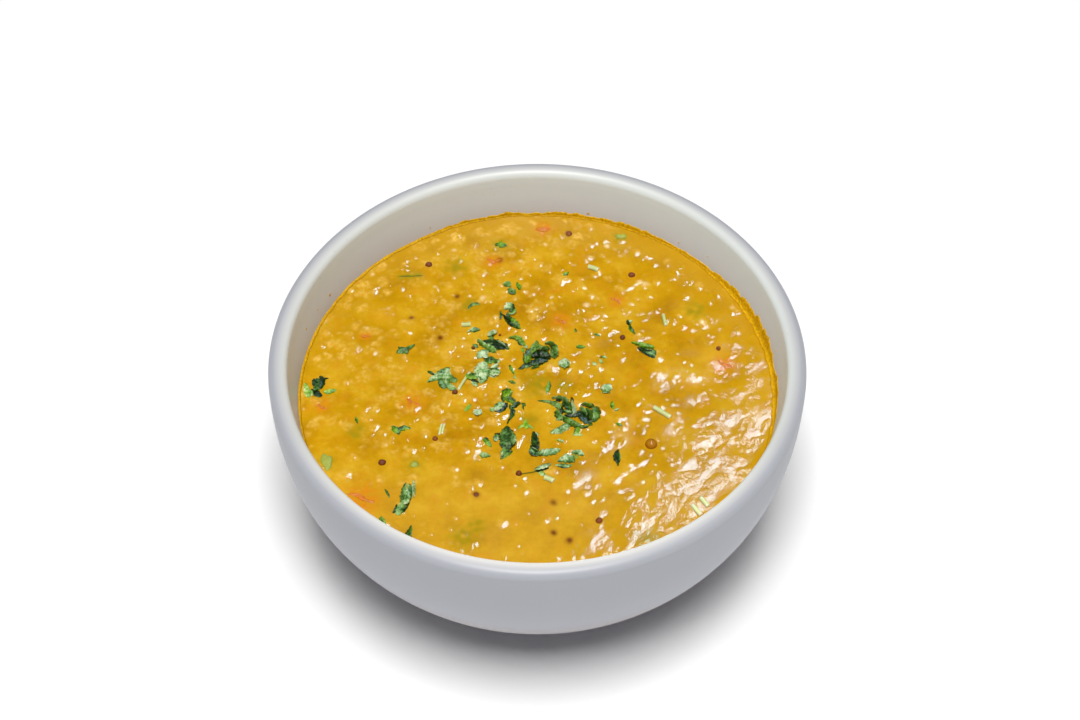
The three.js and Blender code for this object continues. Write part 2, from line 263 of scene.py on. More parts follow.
def bowl_profile():
    """The whole outline, from the middle of the underside out, over the rim and in to the floor."""
    inner_foot = FOOT_RADIUS - FOOT_WIDTH
    half = RIM_THICKNESS / 2
    return np.concatenate([
        [[0.0, BASE_RECESS + 0.3], [20.0, BASE_RECESS + 0.1]],
        arc((inner_foot - FOOT_FILLET, BASE_RECESS - FOOT_FILLET), FOOT_FILLET, 90, 20, 8),
        arc((inner_foot + FOOT_ROUNDING, FOOT_ROUNDING), FOOT_ROUNDING, 180, 270, 7),
        arc((FOOT_RADIUS - FOOT_ROUNDING, FOOT_ROUNDING), FOOT_ROUNDING, 270, 360, 7),
        [[FOOT_RADIUS + 0.05, 2.2], [FOOT_RADIUS + 0.5, 3.4], [FOOT_RADIUS + 1.1, 4.0]],
        [outer_wall(d)[0] for d in np.linspace(65.4, 3.2, 90)],
        arc((RIM_RADIUS - half, BOWL_HEIGHT - half), half, 4, 176, 25, square=2.3),
        [inner_wall(d) for d in np.linspace(3.6, 63.0, 80)],
        [[FLOOR_EDGE, FLOOR_HEIGHT + 0.4], [FLOOR_FLAT, FLOOR_HEIGHT], [0.0, FLOOR_HEIGHT]],
    ])


def turned(profile, sides):
    """A shape turned about the vertical axis. The profile starts and ends on the axis."""
    rim = profile[1:-1]
    angles = np.linspace(0, 2 * math.pi, sides, endpoint=False)
    rings = np.stack([
        np.outer(rim[:, 0], np.cos(angles)),
        np.outer(rim[:, 0], np.sin(angles)),
        np.repeat(rim[:, 1:2], sides, 1),
    ], 2).reshape(-1, 3)
    ends = [[0, 0, profile[0, 1]], [0, 0, profile[-1, 1]]]
    points = np.concatenate([rings, ends])
    low, high, last = len(rings), len(rings) + 1, (len(rim) - 1) * sides
    faces = []
    for j in range(sides):
        k = (j + 1) % sides
        faces.append([low, k, j])
        faces.append([high, last + j, last + k])
        for i in range(0, last, sides):
            faces.append([i + j, i + k, i + sides + k, i + sides + j])
    return {"points": points, "faces": faces, "values": {}}


profile = bowl_profile()
bowl_shape = turned(profile, BOWL_SIDES)
print("profile points:", len(profile), "height:", round(float(profile[:, 1].max()), 2), "mm")

# %% [markdown]
# ## Glazed stoneware
#
# The bowl is stoneware under a thickly laid white tin glaze, fired glossy. To the eye that gives a
# pale, slightly warm white with soft, broad reflections, because the glaze has settled in waves a
# centimetre or two long. The foot ring is wiped before firing and stays bare, matt and sandy. The
# outer wall is painted greyer and bluer than the rim and the inside: painted shade. The inside wall
# has a warm tint all round just above the dal, partly a faint film of dal and partly painted warm
# light from the soup, and more of it on the left, partly film and partly painted shade.


# %% Where the glaze is inside, and where it gets a film of dal with painted warm light and shade
def inner_share(tree, radius, height):
    """0 on the outer wall and 1 on the rim and inside, by the distance from the wheel's axis."""
    inner = add_node(tree, "ShaderNodeMapRange", {
        "Value": radius, "From Min": 73.5 * MM, "From Max": 70.5 * MM,
    })
    high = add_node(tree, "ShaderNodeMapRange", {
        "Value": height, "From Min": 50 * MM, "From Max": 69 * MM,
    })
    return add_node(tree, "ShaderNodeMath", {
        0: inner.outputs["Result"], 1: high.outputs["Result"],
    }, operation="MULTIPLY").outputs[0]


def wall_film_and_shade(tree, place, radius, height):
    """Dal film with painted warm light all round just above the dal, with painted shade higher on the left.
    """
    inside = add_node(tree, "ShaderNodeMapRange", {
        "Value": radius, "From Min": 69 * MM, "From Max": 71.2 * MM, "To Min": 1.0, "To Max": 0.0,
    })
    towards_left = add_node(tree, "ShaderNodeVectorMath", {
        0: place, 1: (-0.94, -0.34, 0.0),
    }, operation="DOT_PRODUCT")
    left = add_node(tree, "ShaderNodeMapRange", {
        "Value": towards_left.outputs["Value"],
        "From Min": 30 * MM, "From Max": 68 * MM, "To Max": 0.14,
    }, interpolation_type="SMOOTHSTEP")
    low = add_node(tree, "ShaderNodeMapRange", {
        "Value": height, "From Min": 67 * MM, "From Max": 55 * MM,
    })
    side = add_node(tree, "ShaderNodeMath", {
        0: left.outputs["Result"], 1: low.outputs["Result"],
    }, operation="MULTIPLY")
    ring = add_node(tree, "ShaderNodeMapRange", {
        "Value": height, "From Min": 67 * MM, "From Max": 54.5 * MM, "To Max": 0.18,
    })
    both = add_node(tree, "ShaderNodeMath", {
        0: ring.outputs["Result"], 1: side.outputs[0],
    }, operation="MAXIMUM")
    return add_node(tree, "ShaderNodeMath", {
        0: inside.outputs["Result"], 1: both.outputs[0],
    }, operation="MULTIPLY").outputs[0]


print("the rim's crown is", RIM_RADIUS - RIM_THICKNESS / 2, "mm from the axis")


# %% The glaze
def glazed_stoneware():
    """White tin glaze on stoneware, bare clay under the foot."""
    material, tree, shader, place = new_material("glazed_stoneware")
    parts = add_node(tree, "ShaderNodeSeparateXYZ", {"Vector": place})
    height = parts.outputs["Z"]
    flat = add_node(tree, "ShaderNodeVectorMath", {0: place, 1: (1.0, 1.0, 0.0)}, operation="MULTIPLY")
    away = add_node(tree, "ShaderNodeVectorMath", {0: flat.outputs[0]}, operation="LENGTH")
    radius = away.outputs["Value"]
    # Glaze waves 14 mm long: 1000 / 14 = 71 to the metre.
    waves = add_node(tree, "ShaderNodeTexNoise", {"Vector": place, "Scale": 71.0, "Detail": 2.0})
    wave = waves.outputs["Fac"]
    # Pinholes and specks of iron, 1.4 mm apart: 1000 / 1.4 = 700 to the metre.
    specks = add_node(tree, "ShaderNodeTexNoise", {"Vector": place, "Scale": 700.0, "Detail": 2.0})
    speckle = add_node(tree, "ShaderNodeMapRange", {
        "Value": specks.outputs["Fac"], "From Min": 0.70, "From Max": 0.78, "To Max": 0.35,
    })
    # The outer wall is painted greyer and bluer than the rim and the inside, which take the paler colour:
    # painted shade.
    shaded_outside = coated(tree, "AEB1B9", (wave, "B1B4BC"))
    # The front of the rim is painted whiter: painted light, where the lamp falls on it from the eater's
    # side.
    lit_front = add_node(tree, "ShaderNodeMapRange", {
        "Value": parts.outputs["Y"], "From Min": -30 * MM, "From Max": -68 * MM,
    })
    inside = coated(tree, "D2D3CF", (wave, "D6D7D3"), (lit_front.outputs["Result"], "FBF9F4"))
    # The foot ring's underside is bare clay up to about a millimetre.
    bare = add_node(tree, "ShaderNodeMapRange", {
        "Value": height, "From Min": 0.9 * MM, "From Max": 1.4 * MM, "To Min": 1.0, "To Max": 0.0,
    }).outputs["Result"]
    colour = coated(
        tree, shaded_outside,
        (inner_share(tree, radius, height), inside),
        (speckle.outputs["Result"], "B4B0A6"),
        # A film of dal with painted warm light from the soup, and painted shade on the left.
        (wall_film_and_shade(tree, place, radius, height), "C09A80"),
        (bare, "CDBFA6"),
    )
    rough = add_node(tree, "ShaderNodeMapRange", {"Value": bare, "To Min": 0.42, "To Max": 0.8})
    bump = add_node(tree, "ShaderNodeBump", {"Height": wave, "Strength": 0.12, "Distance": 0.6 * MM})
    tree.links.new(colour, shader.inputs["Base Color"])
    tree.links.new(rough.outputs["Result"], shader.inputs["Roughness"])
    tree.links.new(bump.outputs["Normal"], shader.inputs["Normal"])
    shader.inputs["IOR"].default_value = 1.5
    shader.inputs["Specular IOR Level"].default_value = 0.5
    return material


glaze = glazed_stoneware()
bowl = make_piece("bowl_turned", bowl_shape, glaze, ["bowl"])

# %% [markdown]
# ## The relief of the dal
#
# Dal is split lentils boiled until most of them have burst: a thick, wet paste with soft lumps in
# it. Its top has long gentle swells, lumps of 1 to 4 mm, and a crumpled wet skin between them. A
# displacement shader would be lost on export, so the relief is worked out as a height map on a
# quarter-millimetre grid and read off for every point of the mesh, and again for every leaf and
# seed that has to lie on it.

# %% Swells and random fields
FILL_HEIGHT = 54.0
# The dal reaches a tenth of a millimetre into the wall, so that no gap shows.
DAL_RADIUS = float(inside_radius(FILL_HEIGHT)) + 0.1
# Eight waves cross the dal, each in a new direction, shorter and lower than the one before.
SWELLS = 8
LONGEST_SWELL = 30.0
SWELL_SHRINK = 0.82
SWELL_STEEPNESS = 0.014
GOLDEN_ANGLE = math.pi * (3 - math.sqrt(5))
# The map's grid: mm from point to point, and half its side.
STEP = 0.25
HALF = 70.0
axis = np.arange(-HALF, HALF, STEP)
east, north = np.meshgrid(axis, axis)
radius_map = np.hypot(east, north)
on_top = radius_map < DAL_RADIUS - 1


def swells(x, y):
    """The long waves that the frame's dal has too."""
    height = np.zeros_like(x)
    for i in range(SWELLS):
        length = LONGEST_SWELL * SWELL_SHRINK**i
        along = x * math.cos(i * GOLDEN_ANGLE) + y * math.sin(i * GOLDEN_ANGLE)
        height += SWELL_STEEPNESS * length * np.sin(2 * math.pi * along / length + i * i)
    return height


def random_field(wavelength, seed, stretch=1.0, angle=0.0, spread=0.35):
    """A smooth random map, mean 0 and spread 1, with ripples about this many millimetres long.
    stretch above 1 draws the ripples out along the angle, in degrees."""
    noise = np.random.default_rng(seed).standard_normal(east.shape)
    fx, fy = np.meshgrid(np.fft.fftfreq(len(axis), STEP), np.fft.fftfreq(len(axis), STEP))
    a = math.radians(angle)
    along = (fx * math.cos(a) + fy * math.sin(a)) * stretch
    across = -fx * math.sin(a) + fy * math.cos(a)
    frequency = np.hypot(along, across) * wavelength + 1e-9
    band = np.exp(-((np.log(frequency) / spread) ** 2))
    field = np.fft.ifft2(np.fft.fft2(noise) * band).real
    return (field - field.mean()) / field.std()


def smooth(low, high, value):
    """0 below low, 1 above high and a soft step between them. Low may be the larger one."""
    t = np.clip((value - low) / (high - low), 0, 1)
    return t * t * (3 - 2 * t)


print("relief grid:", east.shape, "points", STEP, "mm apart")


# %% Soft lumps
# Ridges lie the way the ladle drew them, in radians from +X, and are this much longer.
RIDGE_HEADING = 0.85
RIDGE_LENGTH = 1.7


def lumps(count, smallest, largest, height, seed, wanted, ridge=False):
    """A map of soft round lumps, or ridges all one way, dropped where the wanted map is high.
    Smallest and largest are radii in mm, and height is the share of its radius a lump stands up."""
    rng = np.random.default_rng(seed)
    field = np.zeros_like(east)
    for _ in range(count):
        r, t = DAL_RADIUS * math.sqrt(rng.random()), rng.random() * 2 * math.pi
        x, y = r * math.cos(t), r * math.sin(t)
        i, j = int((y + HALF) / STEP), int((x + HALF) / STEP)
        if rng.random() > wanted[i, j]:
            continue
        size = smallest + (largest - smallest) * rng.random() ** 2
        long = size * rng.uniform(1.0, 1.5)
        turn = rng.uniform(0, math.pi)
        if ridge:
            long, turn = RIDGE_LENGTH * long, RIDGE_HEADING + 0.2 * (turn - 1.57)
        reach = int(long / STEP) + 1
        rows = slice(max(i - reach, 0), i + reach + 1)
        cols = slice(max(j - reach, 0), j + reach + 1)
        dx, dy = east[rows, cols] - x, north[rows, cols] - y
        a = (dx * math.cos(turn) + dy * math.sin(turn)) / long
        b = (dy * math.cos(turn) - dx * math.sin(turn)) / size
        cap = np.clip(1 - a * a - b * b, 0, 1) ** 1.5 * height * size * rng.uniform(0.5, 1.2)
        field[rows, cols] = np.maximum(field[rows, cols], cap)
    return field


print("the dal's top has a radius of", round(DAL_RADIUS, 2), "mm")

# %% [markdown]
# ## Lumps that catch the light
#
# Here and there half a lentil stands up under the wet skin, and the side of it that faces right and
# towards the eater mirrors the window as a small hard glint. On the real soup the eye knows these
# glints by their places, so their lumps are listed one by one. Each one's flank gets the slope that
# sends the window's light to the camera: steeper to the left and to the back, where the window is
# seen at a flatter angle.

# %% Places of the standing lumps
# x, y and radius in mm.
KNOBS = [
    (-24.2, 14.5, 1.3), (-22.7, 12.6, 1.0), (-23.9, 8.4, 0.9), (-19.9, 21.1, 0.8), (-19.2, -10.4, 0.9),
    (-19.1, -13.9, 0.7), (-16.5, 1.2, 0.7), (-5.4, -7.9, 1.2), (-4.9, -10.4, 1.0), (3.6, 8.7, 1.1),
    (0.8, 6.7, 1.2), (7.1, 16.4, 1.0), (8.7, 10.2, 0.9), (11.8, -0.6, 1.3), (13.8, -1.7, 1.1),
    (16.4, 2.5, 1.0), (2.4, -11.8, 0.9), (3.1, -14.1, 0.9), (10.1, 28.5, 1.2), (12.7, 30.0, 1.1),
    (19.9, 23.1, 1.0), (22.4, 22.0, 1.1), (33.2, 35.0, 1.2), (23.6, 34.1, 1.0), (32.8, 5.9, 1.2),
    (30.0, -7.9, 0.9), (27.4, 1.5, 0.8), (19.7, -18.9, 1.3), (18.5, -21.7, 1.2), (25.6, -27.3, 1.3),
    (23.3, -29.7, 1.0), (12.1, -25.2, 0.9), (-3.4, -31.8, 1.1), (-5.6, -20.3, 0.9), (10.0, -33.5, 1.0),
    (-34.5, -22.1, 0.9), (-13.1, 27.0, 0.9), (-37.4, 21.3, 1.0), (14.0, 26.2, 0.8), (-8.5, 31.6, 0.7),
    (-29.6, 51.7, 1.2), (-22.8, 48.7, 1.0), (-17.9, 55.2, 1.2), (-23.0, 58.7, 1.1), (-4.6, 53.7, 1.1),
    (2.7, 62.7, 1.4), (7.1, 59.2, 1.4), (17.8, 56.0, 1.0), (20.5, 56.9, 1.3), (25.6, 57.2, 1.2),
    (30.1, 52.4, 1.1), (32.8, 50.2, 1.1), (34.9, 47.4, 1.1), (41.7, 44.5, 1.2), (44.5, 34.9, 1.0),
    (53.2, 35.6, 1.3), (8.5, 41.8, 0.8), (6.4, 34.9, 0.7), (-3.6, 36.2, 0.9), (-29.2, 37.9, 1.0),
    (-36.2, 50.2, 1.0), (-39.0, 45.7, 1.3), (-39.6, 38.2, 1.2), (9.8, 48.2, 1.0), (48.6, 25.8, 1.4),
    (53.1, 22.5, 1.0), (57.5, 29.2, 1.1), (58.1, 16.8, 1.3), (42.7, 23.7, 0.9), (40.3, 26.3, 0.9),
    (34.6, 29.6, 0.9), (-47.2, 37.8, 1.2), (-20.1, 35.4, 0.9), (-54.0, 3.0, 1.3), (-48.2, -7.2, 1.2),
    (-51.2, 14.9, 1.1), (-46.9, 13.6, 1.1), (-60.1, 20.7, 0.9), (-61.8, 15.8, 0.9),
    (-26.4, -13.4, 1.2), (-38.2, 49.2, 1.0), (-52.2, -31.4, 1.3), (-45.6, -33.0, 1.0),
    (-3.0, -36.4, 0.9), (-6.1, -33.7, 1.1), (2.4, -45.7, 1.0), (11.6, -46.5, 0.9), (15.1, -39.4, 0.8),
    (-20.5, -56.1, 1.4), (-17.0, -53.7, 1.2), (-28.7, -50.9, 1.1), (-30.7, -49.9, 0.8),
    (-5.2, -54.0, 0.7), (5.6, -58.3, 0.9), (-8.3, -58.6, 0.8), (-46.1, -16.6, 0.9), (16.5, -34.0, 0.8),
]


# The slope of a flank in the middle of the bowl, and how much it grows with each mm left or back.
FLANK_SLOPE = 0.22
SLOPE_GROWTH = 0.0019
# The top of a lump lies back and left of its glint, by these shares of its radius, and the skin is
# crumpled round it as far as this many radii.
TOP_LEFT, TOP_BACK = 0.53, 0.47
CRUMPLED_TO = 1.5


def standing_lumps():
    """Heights of the lumps that stand up under the skin, and how near each place is to one."""
    ragged = np.clip(1 + 0.4 * random_field(1.8, 38), 0.5, 1.8)
    heights, near = np.zeros_like(east), np.zeros_like(east)
    for x, y, size in KNOBS:
        slope = FLANK_SLOPE + SLOPE_GROWTH * (y - x)
        away = (east - x + TOP_LEFT * size) ** 2 + (north - y - TOP_BACK * size) ** 2
        bump = np.exp(-away * ragged / size**2)
        heights = np.maximum(heights, slope * size * bump)
        near = np.maximum(near, np.exp(-away / (CRUMPLED_TO * size) ** 2))
    return heights, near


knobs, by_knobs = standing_lumps()
print("standing lumps:", len(KNOBS), "- the highest is", round(float(knobs.max()), 2), "mm")

# %% Where the dal is wet, calm and grainy
# The left of the bowl is grainy, the middle calm, the near right wet with a crumpled skin.
wet = smooth(31, 54, 0.84 * east - 0.55 * north)
calm = smooth(-22, -42, north + 0.25 * east) * (1 - wet)
# One smooth pool lies right of the middle.
quiet = 0.8 * np.exp(-((east - 38) ** 2 + (north - 2) ** 2) / 260)
clusters = 0.30 + 0.70 * smooth(-0.8, 0.8, random_field(8.0, 36))
grainy = (0.14 + 0.86 * smooth(22, -32, east - 0.4 * north)) * clusters * (1 - 0.6 * calm)
far_side = smooth(20, 38, north + 0.12 * np.abs(east)) * smooth(-0.1, 0.9, random_field(9.0, 35))
# Patches of crumpled skin, 6 mm long, lie thick in the wet part and thinly everywhere else.
patches = smooth(1.15, 1.75, random_field(6.0, 164, stretch=1.5, angle=48) + 1.4 * wet) * (1 - 0.8 * calm)
patches = np.maximum(patches * (1 - quiet), 0.45 * by_knobs)
# Ridges of lentil skin lie round the middle.
ridged = np.exp(-((east - 12) ** 2 + (north - 6) ** 2) / 900) * (1 - wet)
ridged = ridged * smooth(0.0, 1.0, random_field(7.0, 37)) * (1 - quiet)
print("share of the top that is crumpled:", round(float(patches[on_top].mean()), 2))

# %% The relief
# How many lumps are tried, then their smallest and largest radius.
coarse_lumps = lumps(2600, 1.0, 2.5, height=0.10, seed=21, wanted=grainy) * (1 - 0.9 * wet)
fine_lumps = lumps(7500, 0.45, 1.1, height=0.15, seed=22, wanted=grainy) * (1 - 0.7 * wet)
skins = lumps(240, 0.8, 1.3, height=0.16, seed=24, wanted=far_side)
ridges = lumps(300, 0.5, 1.6, height=0.15, seed=26, wanted=ridged, ridge=True)
# Folds, wrinkles and skin are one crumpling in waves of 6.5, 2.4 and 1.4 mm. Amounts are in mm.
fold_height = 0.002 + 0.030 * wet * (1 - 0.6 * quiet) + 0.05 * patches * (1 - wet)
folds = random_field(6.5, 31, stretch=1.6, angle=50) * fold_height
wrinkle_height = 0.001 + 0.006 * wet + 0.034 * patches
wrinkles = random_field(2.4, 32, stretch=1.5, angle=52, spread=0.5) * wrinkle_height
skin = random_field(1.4, 33, spread=0.5) * (0.0005 + 0.003 * wet + 0.022 * patches)
# The soup climbs the wall by a third of a millimetre.
rise = 0.35 * np.exp((radius_map - DAL_RADIUS) / 1.8) * (1 - 0.4 * wet)
body = np.maximum(np.maximum(coarse_lumps, skins), ridges) + fine_lumps
relief = FILL_HEIGHT + 0.16 * swells(east, north) + body
relief = relief + folds + wrinkles + skin + rise + knobs
print("relief runs from", round(float(relief[on_top].min()), 2),
      "to", round(float(relief[on_top].max()), 2), "mm above the table")


# %% Read a map anywhere
def read_map(field, x, y):
    """The value of a map at any points, between its grid points."""
    u = np.clip((np.asarray(x) + HALF) / STEP, 0, len(axis) - 1.001)
    v = np.clip((np.asarray(y) + HALF) / STEP, 0, len(axis) - 1.001)
    j, i = u.astype(int), v.astype(int)
    a, b = u - j, v - i
    low = field[i, j] * (1 - a) + field[i, j + 1] * a
    high = field[i + 1, j] * (1 - a) + field[i + 1, j + 1] * a
    return low * (1 - b) + high * b


def surface(x, y):
    """The height of the dal's top at any points, in mm above the table."""
    return read_map(relief, x, y)


print("dal level in the middle:", round(float(surface(0.0, 0.0)), 2), "mm")

# %% [markdown]
# ## What lies on the dal
#
# The toppings are laid before the dal's own mesh is made, because the dal takes a little of their
# colour: oil round the tomato is orange, the soup round the herbs greener, and a seed that has
# sunk shows as a brown shadow. Each kind is a list of places, sizes and headings.

# %% Places of the toppings
# x, y and radius in mm; the last number is how far it has sunk, 1 for wholly.
MUSTARD = [
    (-32.0, 47.6, 1.05, 0.35), (27.8, 43.7, 1.1, 0.35), (9.4, 60.1, 1.1, 0.45), (-28.5, -17.4, 0.85, 0.3),
    (-43.0, -25.6, 1.1, 0.4), (-16.8, -36.8, 1.05, 0.62), (4.5, -39.4, 1.05, 0.78), (8.7, -52.4, 1.1, 0.88),
    (16.8, -45.5, 1.0, 0.35), (-23.3, -0.9, 0.8, 0.2), (24.6, 19.6, 0.8, 0.2), (-36.4, 27.2, 0.8, 0.7),
    (-28.0, 19.4, 0.9, 0.75), (-23.5, 35.4, 0.85, 0.75), (-18.4, 15.5, 0.55, 0.2), (-5.1, -29.7, 0.85, 0.1),
    (52.0, 15.4, 0.7, 0.2), (4.4, -49.6, 1.0, 0.95), (-11.0, 49.5, 0.9, 0.9), (44.0, 52.0, 0.8, 0.8),
    (-10.8, 20.4, 0.4, 0.1),
]
BUBBLE = (31.7, -19.3, 1.7)
# A stalk as dark as this has soaked and lies under the soup's skin.
SOAKED = 0.02
# x, y, length, heading in degrees, width, and how pale it is from 0 to 1.
STALKS = [
    (35.1, -8.2, 5.8, -38, 1.4, 0.8), (36.9, 26.0, 4.1, -81, 1.1, 0.7), (16.5, 46.0, 3.2, -26, 1.4, 0.8),
    (43.5, -42.1, 3.8, -56, 1.3, 1.0), (45.6, -39.4, 3.4, -57, 1.3, 1.0),
    (-26.3, -14.1, 3.5, -100, 0.65, 0.9), (-27.1, -14.4, 3.5, -100, 0.65, 0.9),
    (-20.8, 3.2, 6.9, 63, 0.8, 0.75), (-20.6, 24.3, 2.6, 2, 1.4, 0.7), (3.2, -31.8, 2.8, -27, 1.5, 0.8),
    (-2.4, -29.3, 4.2, 11, 0.35, 0.0), (-37.4, 43.3, 7.5, 1, 1.5, SOAKED),
]
# x, y, length, heading in degrees, width.
TOMATO = [
    (-35.1, -4.5, 4.8, -41, 1.9), (-60.8, -5.8, 3.5, -23, 2.0), (-48.0, -38.1, 7.6, -31, 2.5),
    (6.6, 26.1, 4.6, -31, 2.1), (23.1, 33.6, 4.0, -40, 1.8), (53.4, 9.6, 5.2, -38, 2.6),
    (-13.0, 48.9, 3.8, 0, 2.0), (1.8, 61.8, 3.8, 0, 2.6), (-49.6, 19.9, 2.4, 0, 1.8),
]
# The same for slices of green chilli.
CHILLI = [(-58.2, -25.8, 6.2, -82, 2.8), (24.8, 58.8, 3.2, 0, 2.2), (-34.0, -26.2, 2.3, 0, 2.2)]
print("toppings:", len(MUSTARD), "seeds,", len(STALKS), "stalks,", len(TOMATO), "tomato shreds")


# %% How the toppings tint the soup
def stains(places, grow, seed):
    """A map of soft stains round some places, ragged at their edges. Each reaches grow times its
    own size."""
    ragged = 0.35 * random_field(3.0, seed)
    field = np.zeros_like(east)
    for x, y, size in places:
        reach = grow * size
        distance = np.hypot(east - x, north - y) / reach
        field = np.maximum(field, np.clip(np.exp(-(distance**2)) * (1 + ragged), 0, 1))
    return field


oil = stains([(x, y, 0.5 * length) for x, y, length, _, _ in TOMATO], grow=1.25, seed=41)
# Green clouds of chopped herb lie under the skin in these places: x, y and size.
HERB_CLOUDS = [
    (-19.7, -51.3, 3.2), (-16.5, -47.5, 2.2), (-20.0, 32.0, 2.0), (0.0, 2.0, 3.4), (7.4, 1.6, 2.0),
    (-2.4, -11.0, 2.2), (46.0, 30.0, 2.6), (-39.4, 43.2, 1.3), (-37.2, 43.3, 1.4), (-35.0, 43.4, 1.3),
    (-50.5, -15.0, 2.2), (-10.9, 55.7, 2.4), (-24.0, 46.7, 2.6), (30.0, -52.0, 3.0),
]
herb_places = [(x, y, 2.0) for x, y, *_ in CHILLI] + HERB_CLOUDS
herb_tint = stains(herb_places, grow=1.1, seed=42)
sunk = stains([(x, y, r) for x, y, r, s in MUSTARD if s > 0.4], grow=0.95, seed=43)
# How much of a grain and of crumpled skin shows in each place, and where a pale cap is painted on a lump at
# the back: a painted highlight.
grain = smooth(0.03, 0.20, 1.05 * coarse_lumps + fine_lumps)
crumple = 0.06 + 0.30 * wet + 0.64 * patches
cap = smooth(0.0, 0.20, skins)
# How near a place is to the far wall, and to the eater.
# Near the far wall the soup gets painted shade.
edge = smooth(48, 67, radius_map) * smooth(-10, 30, north)
front = smooth(-18, -45, north) * (1 - wet)
print("share of the top with grains:", round(float(grain[on_top].mean()), 2))


# %% Cut the dal's mesh
RINGS = 165
# Heights of the rings on the dal's hidden wall, from the top down to the bowl's floor.
WALL_LEVELS = (50.0, 40.0, 28.0, 16.0, FLOOR_HEIGHT + 0.6)
WALL_GAP = 0.3
TINTS = {
    "grain": grain, "oil": oil, "herb": herb_tint, "sunk": sunk, "wet": wet,
    "crumple": crumple, "cap": cap, "edge": edge, "front": front,
}


def top_of_dal():
    """Points and faces of the top: a middle point, then rings of 6, 12, 18 points and so on."""
    ring = np.repeat(np.arange(1, RINGS + 1), 6 * np.arange(1, RINGS + 1))
    place = np.concatenate([np.arange(6 * k) for k in range(1, RINGS + 1)])
    angle = 2 * math.pi * place / (6 * ring)
    radius = DAL_RADIUS * ring / RINGS
    x = np.concatenate([[0.0], radius * np.cos(angle)])
    y = np.concatenate([[0.0], radius * np.sin(angle)])
    faces = []
    for k in range(1, RINGS + 1):
        outer, inner = 1 + 3 * k * (k - 1), 1 + 3 * (k - 1) * (k - 2)
        for s in range(6):
            for j in range(k):
                a = outer + s * k + j
                b = outer + (s * k + j + 1) % (6 * k)
                c = 0 if k == 1 else inner + (s * (k - 1) + j) % (6 * (k - 1))
                faces.append([c, a, b])
                if j < k - 1:
                    faces.append([c, b, inner + (s * (k - 1) + j + 1) % (6 * (k - 1))])
    return np.stack([x, y, surface(x, y)], 1), faces


def dal_shape():
    """The top, then the wall and the floor, closed."""
    top, faces = top_of_dal()
    side = 6 * RINGS
    rim = top[-side:]
    layers = [top]
    for height in WALL_LEVELS:
        share = (float(inside_radius(max(height, 9.0))) - WALL_GAP) / DAL_RADIUS
        layers.append(np.stack([rim[:, 0] * share, rim[:, 1] * share, np.full(side, height)], 1))
    first = len(top) - side
    for layer in range(len(WALL_LEVELS)):
        above = first + layer * side
        below = above + side
        for j in range(side):
            k = (j + 1) % side
            faces.append([above + j, below + j, below + k, above + k])
    layers.append(np.array([[0.0, 0.0, FLOOR_HEIGHT + 0.3]]))
    last = first + len(WALL_LEVELS) * side
    centre = last + side
    faces.extend([centre, last + (j + 1) % side, last + j] for j in range(side))
    points = np.concatenate(layers)
    values = {name: read_map(tint, points[:, 0], points[:, 1]) for name, tint in TINTS.items()}
    return {"points": points, "faces": faces, "values": values}


dal = dal_shape()
print("points of the dal's top are", round(DAL_RADIUS / RINGS, 2), "mm apart")

# %% [markdown]
# ## Wet lentil dal
#
# Boiled lentils and turmeric in water: light goes in a millimetre or two and comes back deep
# yellow, so the shader scatters under the surface, red furthest and blue hardly at all. A film of
# water and ghee on top gives hard, broken highlights. Grains are paler than the soup between them.


